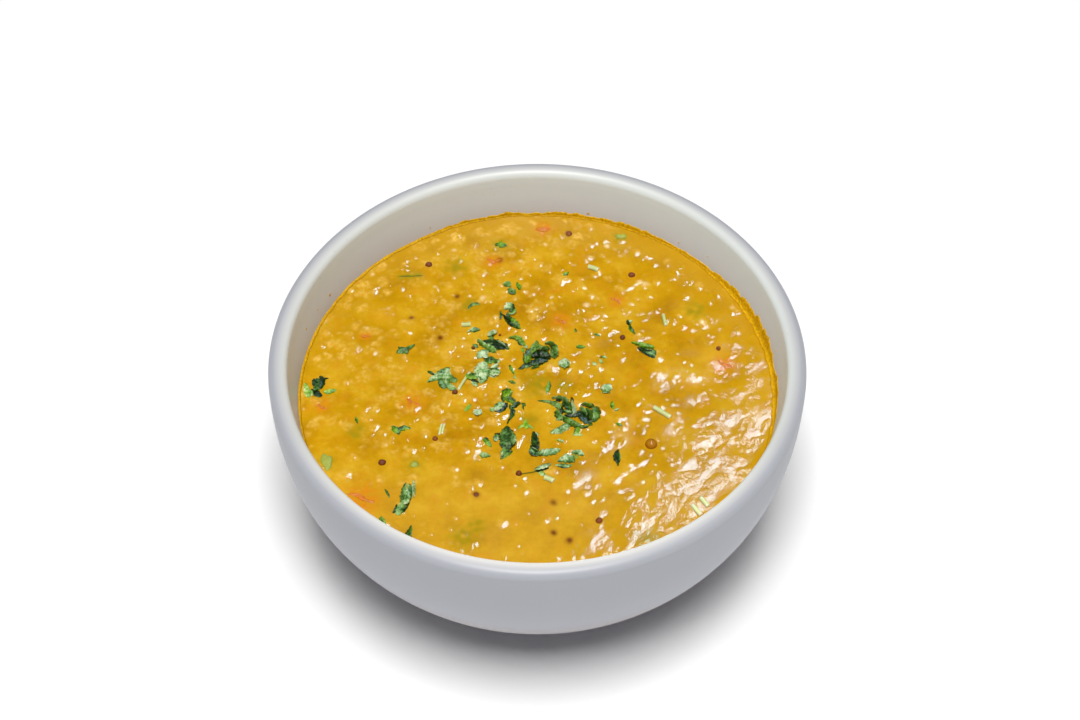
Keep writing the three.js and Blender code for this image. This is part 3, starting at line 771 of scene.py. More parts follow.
# %% The dal's material
def wet_lentil_dal():
    """Coats from the soup's own yellow up to the stains, then a wet and scattering shader."""
    material, tree, shader, place = new_material("wet_lentil_dal")
    held = {name: add_node(tree, "ShaderNodeAttribute", attribute_name=name).outputs["Fac"]
            for name in TINTS}
    # Clouds of thicker and thinner soup, 11 mm across: 1000 / 11 = 90 to the metre.
    clouds = add_node(tree, "ShaderNodeTexNoise", {
        "Vector": place, "Scale": 90.0, "Detail": 6.0, "Roughness": 0.65,
    })
    # Patches where more turmeric and chilli oil has gathered, 5 mm across.
    spiced = add_node(tree, "ShaderNodeTexNoise", {"Vector": place, "Scale": 200.0, "Detail": 3.0})
    # Turmeric and broken lentil, 1.2 mm across.
    crumbs = add_node(tree, "ShaderNodeTexNoise", {"Vector": place, "Scale": 830.0, "Detail": 3.0})
    # The crumpled skin of the soup, in waves of 0.7 mm.
    film = add_node(tree, "ShaderNodeTexNoise", {"Vector": place, "Scale": 1500.0, "Detail": 2.0})
    cloud = add_node(tree, "ShaderNodeMapRange", {
        "Value": clouds.outputs["Fac"], "From Min": 0.32, "From Max": 0.68,
    }).outputs["Result"]
    crumb = add_node(tree, "ShaderNodeMapRange", {
        "Value": crumbs.outputs["Fac"], "From Min": 0.36, "From Max": 0.64,
    })
    spice = add_node(tree, "ShaderNodeMapRange", {
        "Value": spiced.outputs["Fac"], "From Min": 0.54, "From Max": 0.70, "To Max": 0.6,
    })
    even = add_node(tree, "ShaderNodeValToRGB", {"Fac": cloud}, ("B48304", "C7960B", "D4A71C"))
    mottled = add_node(tree, "ShaderNodeValToRGB", {"Fac": cloud}, ("A87604", "CB990D", "E4BA3A"))
    # How much painted shade lies near the far wall, and how much paler the soup is towards the eater.
    far = add_node(tree, "ShaderNodeMath", {0: held["edge"], 1: 0.75}, operation="MULTIPLY")
    near = add_node(tree, "ShaderNodeMath", {0: held["front"], 1: 0.22}, operation="MULTIPLY")
    # Grains are palest where little turmeric has gathered.
    pale = coated(tree, "D2A228", (crumb.outputs["Result"], "EAC260"))
    broken = add_node(tree, "ShaderNodeMapRange", {
        "Value": spiced.outputs["Fac"],
        "From Min": 0.62, "From Max": 0.38, "To Min": 0.1, "To Max": 0.8,
    })
    grains = add_node(tree, "ShaderNodeMath", {
        0: held["grain"], 1: broken.outputs["Result"],
    }, operation="MULTIPLY")
    soup = coated(
        tree, even.outputs["Color"],
        (spice.outputs["Result"], "D08E16"),
        (held["wet"], "C5960E"),
        (0.25, mottled.outputs["Color"]),
        # Near the far wall the soup is painted a deeper gold: painted shade where it meets the wall.
        (far.outputs[0], "BA8D08"),
        # The soup is paler towards the eater.
        (near.outputs[0], "D6AE44"),
        (grains.outputs[0], pale),
        # Painted highlight: pale caps on the lumps at the back.
        (held["cap"], "EACB8C"),
        (held["herb"], "A88E14"),
        (held["oil"], "D48A18"),
        (held["sunk"], "7A4514"),
    )
    # Wet and glossy where the skin is crumpled, drier among the lumps.
    glossy = add_node(tree, "ShaderNodeMath", {0: held["wet"], 1: held["crumple"]}, operation="MAXIMUM")
    rough = add_node(tree, "ShaderNodeMapRange", {
        "Value": glossy.outputs[0],
        "From Min": 0.05, "From Max": 0.5, "To Min": 0.11, "To Max": 0.065,
    })
    skin_height = add_node(tree, "ShaderNodeMath", {
        0: film.outputs["Fac"], 1: held["crumple"],
    }, operation="MULTIPLY")
    bump = add_node(tree, "ShaderNodeBump", {"Height": skin_height.outputs[0], "Distance": 0.12 * MM})
    tree.links.new(soup, shader.inputs["Base Color"])
    tree.links.new(rough.outputs["Result"], shader.inputs["Roughness"])
    tree.links.new(bump.outputs["Normal"], shader.inputs["Normal"])
    shader.inputs["IOR"].default_value = 1.33
    shader.inputs["Subsurface Weight"].default_value = 0.4
    shader.inputs["Subsurface Radius"].default_value = (1.0, 0.55, 0.12)
    shader.inputs["Subsurface Scale"].default_value = 1.4 * MM
    return material


make_piece("dal_surface", dal, wet_lentil_dal(), ["dal"])

# %% [markdown]
# ## The tide line
#
# Where the dal stood higher while it was carried, it has left a film on the wall: a narrow ragged
# band all round, highest on the right. It is thin, so it could be painted on the glaze, but it has
# an edge that catches the light. It is made as a closed ribbon whose back lies in the wall.

# %% The tide line's height round the bowl
TIDE_TURNS = 1440
TIDE_LEAST = 0.08
# Angle from +X in degrees and how high the film reaches above the dal there, in mm.
TIDE = [
    (-60, 0.2), (-20, 0.8), (-6, 2.0), (0, 3.1), (6, 1.3), (12, 3.5), (18, 3.8), (24, 3.1), (30, 2.6),
    (36, 2.0), (42, 1.1), (54, 0.8), (66, 1.7), (75, 1.0), (84, 1.3), (92, 0.5), (98, 1.3), (103, 0.6),
    (108, 0.9), (120, 0.2), (132, 0.1), (170, 0.0), (250, 0.0), (300, 0.1),
]


def tide_top(angle):
    """Height of the film above the dal at angles in degrees from -60 to 300, ragged by the millimetre."""
    rng = np.random.default_rng(5)
    height = np.interp(angle, *np.array(TIDE).T)
    ragged = np.zeros_like(angle)
    for waves in (61, 97, 151, 239, 331):
        ragged += np.sin(np.radians(angle * waves) + rng.uniform(0, 6.3)) / math.sqrt(waves)
    return height * (1 + 0.9 * ragged) + TIDE_LEAST + 0.25 * ragged * smooth(60, 110, angle)


def tide_shape():
    """The film as a closed ribbon round the bowl, laid in rows along its outline."""
    angle = np.arange(TIDE_TURNS) * 360.0 / TIDE_TURNS - 60
    c, s = np.cos(np.radians(angle)), np.sin(np.radians(angle))
    top = np.maximum(tide_top(angle), TIDE_LEAST)
    # At the left and at the right the dal has dried on as a ledge as well, this many mm wide.
    ledge = 0.3 + 0.28 * smooth(95, 125, angle) * smooth(205, 175, angle)
    ledge = ledge + 0.7 * smooth(-35, 0, angle) * smooth(50, 20, angle)
    ledge = ledge * (1 + 0.12 * np.sin(np.radians(angle * 47)) + 0.1 * np.sin(np.radians(angle * 83)))
    # Each row: the share of the ledge out from the wall and mm more, the share of the top's height
    # and mm more, and the tone from 0 at the soup to 1 on the wall; a low tone gets the painted shade at
    # the film's foot.
    outline = [
        (1.0, 0.22, 0.0, -0.3, 0.0), (1.0, 0.22, 0.0, 0.03, 0.0), (1.0, 0.03, 0.0, 0.12, 0.1),
        (0.8, 0.0, 0.0, 0.20, 0.5), (0.45, 0.05, 0.1, 0.24, 0.8), (0.1, 0.15, 0.35, 0.20, 1.0),
        (0.0, 0.20, 0.7, 0.14, 1.0), (0.0, 0.12, 0.95, 0.09, 1.0), (0.0, -0.25, 1.0, 0.05, 1.0),
        (0.0, -0.30, 0.3, 0.0, 1.0), (0.0, -0.30, 0.0, -0.3, 0.0),
    ]
    rows = []
    for share, out, up, more, _ in outline:
        inward = share * ledge + out
        level = surface((DAL_RADIUS - 0.1 - inward) * c, (DAL_RADIUS - 0.1 - inward) * s)
        height = level + up * top + more
        radius = inside_radius(height) - inward
        rows.append(np.stack([radius * c, radius * s, height], 1))
    faces = []
    for i in range(len(rows)):
        for j in range(TIDE_TURNS):
            a, b = i * TIDE_TURNS, ((i + 1) % len(rows)) * TIDE_TURNS
            k = (j + 1) % TIDE_TURNS
            faces.append([a + j, a + k, b + k, b + j])
    tone = np.repeat([row[4] for row in outline], TIDE_TURNS)
    return {"points": np.concatenate(rows), "faces": faces, "values": {"high": tone}}


tide = tide_shape()
highest = float(tide_top(np.arange(-60.0, 300.0)).max())
print("tide line, highest:", round(highest, 1), "mm above the dal")


# %% Dried dal, and the line itself
def dried_dal():
    """A film of dal that has half dried: a deeper gold than the soup, grainy and less wet."""
    material, tree, shader, place = new_material("dried_dal_film")
    # Crumbs of lentil 0.7 mm across: 1000 / 0.7 = 1430 to the metre.
    crumbs = add_node(tree, "ShaderNodeTexNoise", {"Vector": place, "Scale": 1430.0, "Detail": 3.0})
    high = add_node(tree, "ShaderNodeAttribute", attribute_name="high").outputs["Fac"]
    crumb = add_node(tree, "ShaderNodeMapRange", {
        "Value": crumbs.outputs["Fac"], "From Min": 0.4, "From Max": 0.62,
    })
    # Thinner and browner on the left, where less soup has run down.
    side = add_node(tree, "ShaderNodeMapRange", {
        "Value": add_node(tree, "ShaderNodeSeparateXYZ", {"Vector": place}).outputs["X"],
        "From Min": -20 * MM, "From Max": 50 * MM,
    })
    dark = coated(tree, "BE8E00", (side.outputs["Result"], "D6A000"))
    light = coated(tree, "D8A808", (side.outputs["Result"], "EEBC14"))
    # The foot of the film, where it meets the soup, is painted dark brown: painted shade in the corner.
    low = add_node(tree, "ShaderNodeMapRange", {
        "Value": high, "From Min": 0.1, "From Max": 0.4, "To Min": 0.5, "To Max": 0.0,
    })
    colour = coated(tree, dark, (crumb.outputs["Result"], light), (low.outputs["Result"], "945A00"))
    bump = add_node(tree, "ShaderNodeBump", {
        "Height": crumbs.outputs["Fac"], "Strength": 0.7, "Distance": 0.5 * MM,
    })
    tree.links.new(colour, shader.inputs["Base Color"])
    tree.links.new(bump.outputs["Normal"], shader.inputs["Normal"])
    shader.inputs["Roughness"].default_value = 0.6
    shader.inputs["IOR"].default_value = 1.25
    return material


dried = dried_dal()
tide_line = make_piece("tide_line", tide, dried, ["dal"])

# %% [markdown]
# ## Round bodies: seeds, shreds and splashes
#
# Mustard seeds fried in oil go nearly black with a red-brown skin, and sit half sunk. Shreds of
# tomato skin and slices of green chilli are soft irregular bodies. All of them start as a fine
# ball whose points are pushed in and out by a few random waves, which no two share.


# %% A pebble
def ball(detail):
    """Points and faces of a ball, evenly split."""
    mesh = bpy.data.meshes.new("ball")
    work = bmesh.new()
    bmesh.ops.create_icosphere(work, subdivisions=detail, radius=1.0)
    work.to_mesh(mesh)
    work.free()
    points = np.array([v.co[:] for v in mesh.vertices])
    faces = [list(p.vertices) for p in mesh.polygons]
    bpy.data.meshes.remove(mesh)
    return points, faces


BALLS = {detail: ball(detail) for detail in (2, 3, 4)}


def turn(points, heading):
    """Points turned about the vertical, in degrees."""
    h = math.radians(heading)
    about_z = np.array([[math.cos(h), -math.sin(h), 0], [math.sin(h), math.cos(h), 0], [0, 0, 1]])
    return points @ about_z.T


def pebble(size, seed, rough=0.06, detail=3, **values):
    """A ball of this size along X, Y and Z with a few random waves on it. Its values, such as how
    dark it is, go to all its points."""
    rng = np.random.default_rng(seed)
    points, faces = BALLS[detail]
    swell = np.ones(len(points))
    for _ in range(7):
        direction = rng.standard_normal(3)
        direction /= np.linalg.norm(direction)
        swell += rough * np.sin(points @ direction * rng.uniform(1.5, 6.0) + rng.uniform(0, 6.3))
    shaped = points * swell[:, None] * np.array(size) / 2
    return {"points": shaped, "faces": faces, "values": {
        key: np.full(len(points), float(value)) for key, value in values.items()
    }}


def laid(shape, x, y, heading, above):
    """The shape turned to a heading, with its middle this far above the dal."""
    points = turn(shape["points"], heading)
    return {**shape, "points": points + np.array([x, y, float(surface(x, y)) + above])}


seeds = []
for n, (x, y, r, depth) in enumerate(MUSTARD):
    darkness = np.random.default_rng(n).random()
    shape = pebble((2 * r, 2 * r, 1.9 * r), seed=100 + n, rough=0.025, dark=darkness)
    seeds.append(laid(shape, x, y, heading=60 * n, above=r * (0.45 - 1.8 * depth)))
print("mustard seeds:", len(seeds))


# %% Mustard skin
def mustard_skin():
    """Fried mustard seed: a hard, pitted, red-brown skin, shiny with oil."""
    material, tree, shader, place = new_material("mustard_skin")
    # Pits in the skin 0.25 mm apart: 4000 to the metre.
    pits = add_node(tree, "ShaderNodeTexVoronoi", {"Vector": place, "Scale": 4000.0})
    dark = add_node(tree, "ShaderNodeAttribute", attribute_name="dark").outputs["Fac"]
    skin = coated(tree, "A65C1C", (dark, "78380C"))
    colour = coated(tree, "56240A", (pits.outputs["Distance"], skin))
    bump = add_node(tree, "ShaderNodeBump", {
        "Height": pits.outputs["Distance"], "Strength": 0.4, "Distance": 0.1 * MM,
    })
    tree.links.new(colour, shader.inputs["Base Color"])
    tree.links.new(bump.outputs["Normal"], shader.inputs["Normal"])
    shader.inputs["Roughness"].default_value = 0.58
    shader.inputs["IOR"].default_value = 1.36
    return material


make_piece("mustard_seeds", join(seeds), mustard_skin(), ["dal"])

# %% Tomato and chilli shapes
TOMATO_THICKNESS = 0.9
CHILLI_THICKNESS = 1.3


def shreds(n, x, y, length, heading, width):
    """Three ragged bodies in a row, which look like one shred of stewed tomato."""
    along = math.cos(math.radians(heading)), math.sin(math.radians(heading))
    made = []
    for part in range(3):
        rng = np.random.default_rng(200 + 10 * n + part)
        share = rng.uniform(0.45, 0.75)
        size = (length * share, width * share * 0.9, TOMATO_THICKNESS)
        shape = pebble(size, seed=210 + 10 * n + part, rough=0.13, kind=rng.uniform(0, 0.3))
        dx, dy = ((part - 1) * 0.28 * length * a for a in along)
        dy += rng.uniform(-0.3, 0.3)
        made.append(laid(shape, x + dx, y + dy, heading + rng.uniform(-25, 25), above=-0.30))
    return made


soft = [body for n, place in enumerate(TOMATO) for body in shreds(n, *place)]
for n, (x, y, length, heading, width) in enumerate(CHILLI):
    shape = pebble((length, width, CHILLI_THICKNESS), seed=300 + n, rough=0.07, kind=1.0)
    soft.append(laid(shape, x, y, heading, above=-0.15))
print("tomato and chilli bodies:", len(soft))


# %% Their skin
def soft_vegetable():
    """Stewed tomato skin and chilli: soft, wet and half clear, so light scatters inside them."""
    material, tree, shader, place = new_material("stewed_vegetable")
    kind = add_node(tree, "ShaderNodeAttribute", attribute_name="kind").outputs["Fac"]
    # Fibres about 0.8 mm apart: 1250 to the metre.
    fibres = add_node(tree, "ShaderNodeTexNoise", {"Vector": place, "Scale": 1250.0, "Detail": 2.0})
    red = coated(tree, "C65C10", (fibres.outputs["Fac"], "DA8C1A"))
    green = coated(tree, "7F8F24", (fibres.outputs["Fac"], "B6BC58"))
    pick = add_node(tree, "ShaderNodeMapRange", {"Value": kind, "From Min": 0.4, "From Max": 0.6})
    colour = coated(tree, red, (pick.outputs["Result"], green))
    bump = add_node(tree, "ShaderNodeBump", {
        "Height": fibres.outputs["Fac"], "Strength": 0.3, "Distance": 0.4 * MM,
    })
    tree.links.new(colour, shader.inputs["Base Color"])
    tree.links.new(bump.outputs["Normal"], shader.inputs["Normal"])
    shader.inputs["Roughness"].default_value = 0.5
    shader.inputs["IOR"].default_value = 1.36
    shader.inputs["Subsurface Weight"].default_value = 0.3
    shader.inputs["Subsurface Scale"].default_value = 1.0 * MM
    return material


make_piece("tomato_and_chilli", join(soft), soft_vegetable(), ["dal"])

# %% Splashes on the wall
# Angle from +X in degrees, then height above the dal and size across in mm.
SPLASHES = [
    (152, 4.5, 0.8), (165, 6.0, 0.6), (158, 5.4, 0.35), (77, 2.4, 0.7), (52, 3.4, 0.4), (118, 2.8, 0.35),
    (8, 6.0, 0.4), (43, 5.0, 0.35), (-75, 3.0, 0.5), (-120, 5.0, 0.7),
]


def splash(angle, above, size, seed):
    """A flat drop on the inside wall."""
    height = FILL_HEIGHT + above
    radius = float(inside_radius(height))
    shape = pebble((0.35, size, size * 1.25), seed, rough=0.08, detail=2, high=0.6)
    points = turn(shape["points"], angle)
    a = math.radians(angle)
    return {**shape, "points": points + np.array([radius * math.cos(a), radius * math.sin(a), height])}


drops = [splash(a, h, s, seed=400 + n) for n, (a, h, s) in enumerate(SPLASHES)]
make_piece("wall_splashes", join(drops), dried, ["dal"])

# %% [markdown]
# ## The bubble
#
# One bubble of air has come up near the right of the middle. It is a dome of soup skin, thin and
# see-through on top and thicker round its foot, where it looks like a brown ring.


# %% Blow the bubble
def bubble_shape():
    """A dome with its open foot under the soup."""
    x, y, radius = BUBBLE
    points, faces = BALLS[4]
    keep = points[:, 2] > -0.35
    number = np.cumsum(keep) - 1
    kept = points[keep] * np.array([radius, radius, 0.95 * radius])
    # The few faces that cross the cut are left out; the rim lies under the soup.
    left = [[int(number[i]) for i in face] for face in faces if all(keep[i] for i in face)]
    foot = float(surface(x, y))
    return {"points": kept + np.array([x, y, foot - 0.05]), "faces": left, "values": {
        "high": np.clip(points[keep][:, 2], 0, 1),
    }}


def soup_skin():
    """A film of soup and oil: clear and golden on top, browner at the foot."""
    material, tree, shader, place = new_material("soup_bubble_skin")
    high = add_node(tree, "ShaderNodeAttribute", attribute_name="high").outputs["Fac"]
    # Swirls in the film about 1 mm wide: 1000 to the metre.
    swirl = add_node(tree, "ShaderNodeTexNoise", {"Vector": place, "Scale": 1000.0, "Detail": 1.0})
    ring = add_node(tree, "ShaderNodeMapRange", {
        "Value": high, "From Min": 0.35, "From Max": 0.75, "To Min": 0.9, "To Max": 0.5,
    })
    film = coated(tree, "B86E0C", (swirl.outputs["Fac"], "D08C1E"))
    colour = coated(tree, "8C4C06", (high, film))
    tree.links.new(colour, shader.inputs["Base Color"])
    tree.links.new(ring.outputs["Result"], shader.inputs["Alpha"])
    shader.inputs["Roughness"].default_value = 0.12
    shader.inputs["IOR"].default_value = 1.5
    return material


make_piece("bubble", bubble_shape(), soup_skin(), ["dal"])

# %% [markdown]
# ## Stalks
#
# Chopped coriander stalk is a thin ribbed tube, pale green and almost white where it was cut. A
# tube follows a short bent path, with rings of points round it and closed ends.


# %% Tubes
def tube(path, radius, around=10, **values):
    """A closed tube with five ribs along a path of points. It carries how near each point is to a
    cut end, and its values go to all its points."""
    path = np.asarray(path, dtype=float)
    ahead = np.gradient(path, axis=0)
    ahead /= np.linalg.norm(ahead, axis=1)[:, None]
    side = np.cross(ahead, [0.0, 0.0, 1.0])
    side /= np.linalg.norm(side, axis=1)[:, None] + 1e-9
    up = np.cross(side, ahead)
    angles = np.linspace(0, 2 * math.pi, around, endpoint=False)
    ribs = radius * (1 + 0.07 * np.cos(5 * angles))
    across, upward = np.cos(angles) * ribs, np.sin(angles) * ribs
    rings = [path[i] + np.outer(across, side[i]) + np.outer(upward, up[i]) for i in range(len(path))]
    points = np.concatenate(rings + [path[:1], path[-1:]])
    count = len(path)
    faces = []
    for i in range(count - 1):
        for j in range(around):
            k = (j + 1) % around
            faces.append([i * around + j, (i + 1) * around + j, (i + 1) * around + k, i * around + k])
    for j in range(around):
        k = (j + 1) % around
        faces.append([count * around, j, k])
        faces.append([count * around + 1, (count - 1) * around + k, (count - 1) * around + j])
    cut = np.abs(np.linspace(-1, 1, count)) ** 6
    ends = np.concatenate([np.repeat(cut, around), [1.0, 1.0]])
    return {"points": points, "faces": faces, "values": {
        "cut": ends, **{key: np.full(len(points), float(value)) for key, value in values.items()},
    }}


def stalk_path(x, y, length, heading, bend, above):
    """Nine points of a slightly bent line that lies on the dal, or under it."""
    a = math.radians(heading)
    steps = np.linspace(-0.5, 0.5, 9)
    px = x + steps * length * math.cos(a) - bend * (0.25 - steps**2) * math.sin(a)
    py = y + steps * length * math.sin(a) + bend * (0.25 - steps**2) * math.cos(a)
    level = surface(px, py)
    smooth_level = np.polyval(np.polyfit(steps, level, 1), steps)
    return np.stack([px, py, smooth_level + above], 1)


stalks = []
for n, (x, y, length, heading, width, pale) in enumerate(STALKS):
    bend = 0.5 * math.sin(3.7 * n)
    above = -0.46 * width if pale == SOAKED else 0.18 * width
    path = stalk_path(x, y, length, heading, bend, above)
    stalks.append(tube(path, width / 2, pale=pale))
print("stalks:", len(stalks))


# %% Stalk skin
def coriander_stalk():
    """Raw coriander stalk: a waxy ribbed skin, pale green, white and fibrous where it is cut."""
    material, tree, shader, place = new_material("coriander_stalk")
    pale = add_node(tree, "ShaderNodeAttribute", attribute_name="pale").outputs["Fac"]
    cut = add_node(tree, "ShaderNodeAttribute", attribute_name="cut").outputs["Fac"]
    # Fibres 0.4 mm apart: 2500 to the metre.
    fibres = add_node(tree, "ShaderNodeTexNoise", {"Vector": place, "Scale": 2500.0, "Detail": 2.0})
    skin = add_node(tree, "ShaderNodeValToRGB", {"Fac": pale}, ("5E6200", "9AAE4E", "CFDC9A"))
    streaks = add_node(tree, "ShaderNodeValToRGB", {"Fac": pale}, ("6E7004", "B4C46C", "E0E8B4"))
    white = add_node(tree, "ShaderNodeMath", {0: cut, 1: pale}, operation="MULTIPLY")
    colour = coated(
        tree, skin.outputs["Color"],
        (fibres.outputs["Fac"], streaks.outputs["Color"]),
        (white.outputs[0], "EDEBC8"),
    )
    tree.links.new(colour, shader.inputs["Base Color"])
    # Where the soup has soaked it the stalk is dull.
    soaked = add_node(tree, "ShaderNodeMapRange", {
        "Value": pale, "From Max": 0.3, "To Min": 0.95, "To Max": 0.5,
    })
    tree.links.new(soaked.outputs["Result"], shader.inputs["Roughness"])
    shader.inputs["IOR"].default_value = 1.33
    shader.inputs["Subsurface Weight"].default_value = 0.25
    shader.inputs["Subsurface Scale"].default_value = 0.8 * MM
    return material


make_piece("stalk_pieces", join(stalks), coriander_stalk(), ["dal"])

# %% [markdown]
# ## Coriander leaves
#
# A coriander leaflet is a thin blade, lobed and toothed, dark and waxy on its face, paler and bluer
# underneath. Chopping leaves odd fragments of it: strips, half lobes and hoods, some face up, some
# turned over, and a sprig that was cut through falls in a heap of them. A leaf could be a flat card
# with a cut-out picture, but these have to curl and catch the light. So every fragment is a closed
# thin ribbon along a short spine of rows. Its long edges are toothed, one edge hangs down to the
# soup and the other stays up.


# %% A ribbon of leaf
LEAF_THICKNESS = 0.15
LEAST_WIDTH = 0.25
# Points across a ribbon, and mm from one row of them to the next.
ACROSS = 9
ROW_SPACING = 0.3
# Places are read along the line of sight: what stands a millimetre up lies this much nearer the eye.
TOWARDS_EYE = 1 / math.tan(VIEW_ELEVATION)
# Waves to 2 pi mm on the left and right edges, which don't keep step: lobes come every 1.2 to 1.4 mm
# and teeth every 0.6 mm.
LOBES = (2.3, 2.7)
TEETH = (9.7, 11.3)


def smooth_rows(rows, spacing):
    """A smooth curve through the rows, with a new row at about this spacing: a cubic from each row
    to the next, which leaves every row along the line from the one before to the one after."""
    steps = np.hypot(*np.diff(rows[:, :2], axis=0).T)
    distance = np.concatenate([[0.0], np.cumsum(steps)])
    slope = np.gradient(rows, distance, axis=0)
    t = np.linspace(0, distance[-1], max(8, int(distance[-1] / spacing)))
    i = np.clip(np.searchsorted(distance, t, "right") - 1, 0, len(rows) - 2)
    length = steps[i][:, None]
    s = (t - distance[i])[:, None] / length
    curve = (1 + 2 * s) * (1 - s) ** 2 * rows[i] + s * (1 - s) ** 2 * length * slope[i]
    curve += s**2 * (3 - 2 * s) * rows[i + 1] - s**2 * (1 - s) * length * slope[i + 1]
    return t, curve


def ribbon_faces(long):
    """Faces of a closed ribbon with this many rows: its face, its back and the edge between."""
    count = long * ACROSS
    faces = []
    for i in range(long - 1):
        for j in range(ACROSS - 1):
            a = i * ACROSS + j
            quad = [a, a + ACROSS, a + ACROSS + 1, a + 1]
            faces.append(quad[::-1])
            faces.append([count + q for q in quad])
    # Once round the edge of the face, to close it to the back.
    edge = [i * ACROSS for i in range(long)]
    edge += [(long - 1) * ACROSS + j for j in range(1, ACROSS)]
    edge += [i * ACROSS + ACROSS - 1 for i in range(long - 2, -1, -1)]
    edge += list(range(ACROSS - 2, 0, -1))
    for a, b in zip(edge, edge[1:] + edge[:1]):
        faces.append([a, b, count + b, count + a])
    return faces


def ribbon(pale, fresh, *rows, seed=0):
    """A closed leaf fragment. Rows hold x, y, width and height over the dal, in millimetres."""
    rng = np.random.default_rng(seed)
    t, curve = smooth_rows(np.array(rows, dtype=float), ROW_SPACING)
    ahead = np.gradient(curve[:, :2], t, axis=0)
    ahead /= np.hypot(ahead[:, 0], ahead[:, 1])[:, None] + 1e-9
    v = np.linspace(-1, 1, ACROSS)[None, :]
    t = t[:, None]
    phase = rng.uniform(0, 6.3, 6)
    lobes = [np.abs(np.sin(waves * t + start)) for waves, start in zip(LOBES, phase[0:2])]
    teeth = [np.sin(waves * t + start) for waves, start in zip(TEETH, phase[2:4])]
    uneven = 0.78 + 0.34 * np.where(v > 0, *lobes) + 0.07 * np.where(v > 0, *teeth)
    # A chopped end is straight, a grown one is round.
    for away in (t, t.max() - t):
        blunt = 0.8 if rng.random() < 0.4 else 0.3
        uneven = uneven * np.clip(away / 0.6 + blunt, 0, 1) ** 0.5
    half = 0.5 * np.maximum(curve[:, 2:3], LEAST_WIDTH) * uneven
    x = curve[:, 0:1] - ahead[:, 1:2] * half * v
    y = curve[:, 1:2] + ahead[:, 0:1] * half * v
    # 0 at the edge that stays up, 1 at the edge that hangs; more often that is the near one.
    near = -np.sign(ahead[:, 0:1].mean() + 1e-9)
    hanging = near if rng.random() < 0.6 else -near
    w = (1 + v * hanging) / 2
    rise = curve[:, 3:4] * (1 + rng.uniform(-0.3, 0.4) * (1 - w) ** 1.5 - 0.9 * w**2.2)
    # The edges are frilled, and the blade is a little wavy along its spine.
    rise = rise + 0.11 * half * np.abs(v) ** 1.5 * np.sin(2.9 * t + phase[4] + 1.4 * np.sign(v))
    rise = rise + 0.05 * curve[:, 3:4] * np.sin(5.5 * t + phase[5]) + 0.04
    y = y - rise * TOWARDS_EYE
    top = np.stack([x, y, surface(x, y) + rise], 2).reshape(-1, 3)
    # A middle vein and fainter side veins, on blades that are wide enough to have them.
    side_veins = np.abs(np.sin(2.2 * (t - 1.2 * half * np.abs(v))))
    wide = smooth(0.5, 1.2, half)
    vein = wide * np.maximum(np.exp(-((v / 0.13) ** 2)), 0.6 * np.exp(-((side_veins / 0.2) ** 2)))
    # One half of the blade is painted lighter and the other darker across the spine: painted shade over the
    # fold.
    tone = pale + 0.10 * np.sin(1.7 * t + phase[0]) + 0.17 * v * np.sign(np.sin(phase[1]))
    points = np.concatenate([top, top - [0, 0, LEAF_THICKNESS]])
    return {"points": points, "faces": ribbon_faces(len(t)), "values": {
        "pale": np.tile(np.clip(tone, 0, 1).reshape(-1), 2),
        "fresh": np.full(len(points), float(fresh)),
        "vein": np.tile(vein.reshape(-1), 2),
    }}


sample = ribbon(0.5, 0.0, (0, 0, 1, 0.2), (3, 1, 2, 0.5), (6, 0, 1, 0.2))
print("a ribbon 6 mm long has", len(sample["points"]), "points")
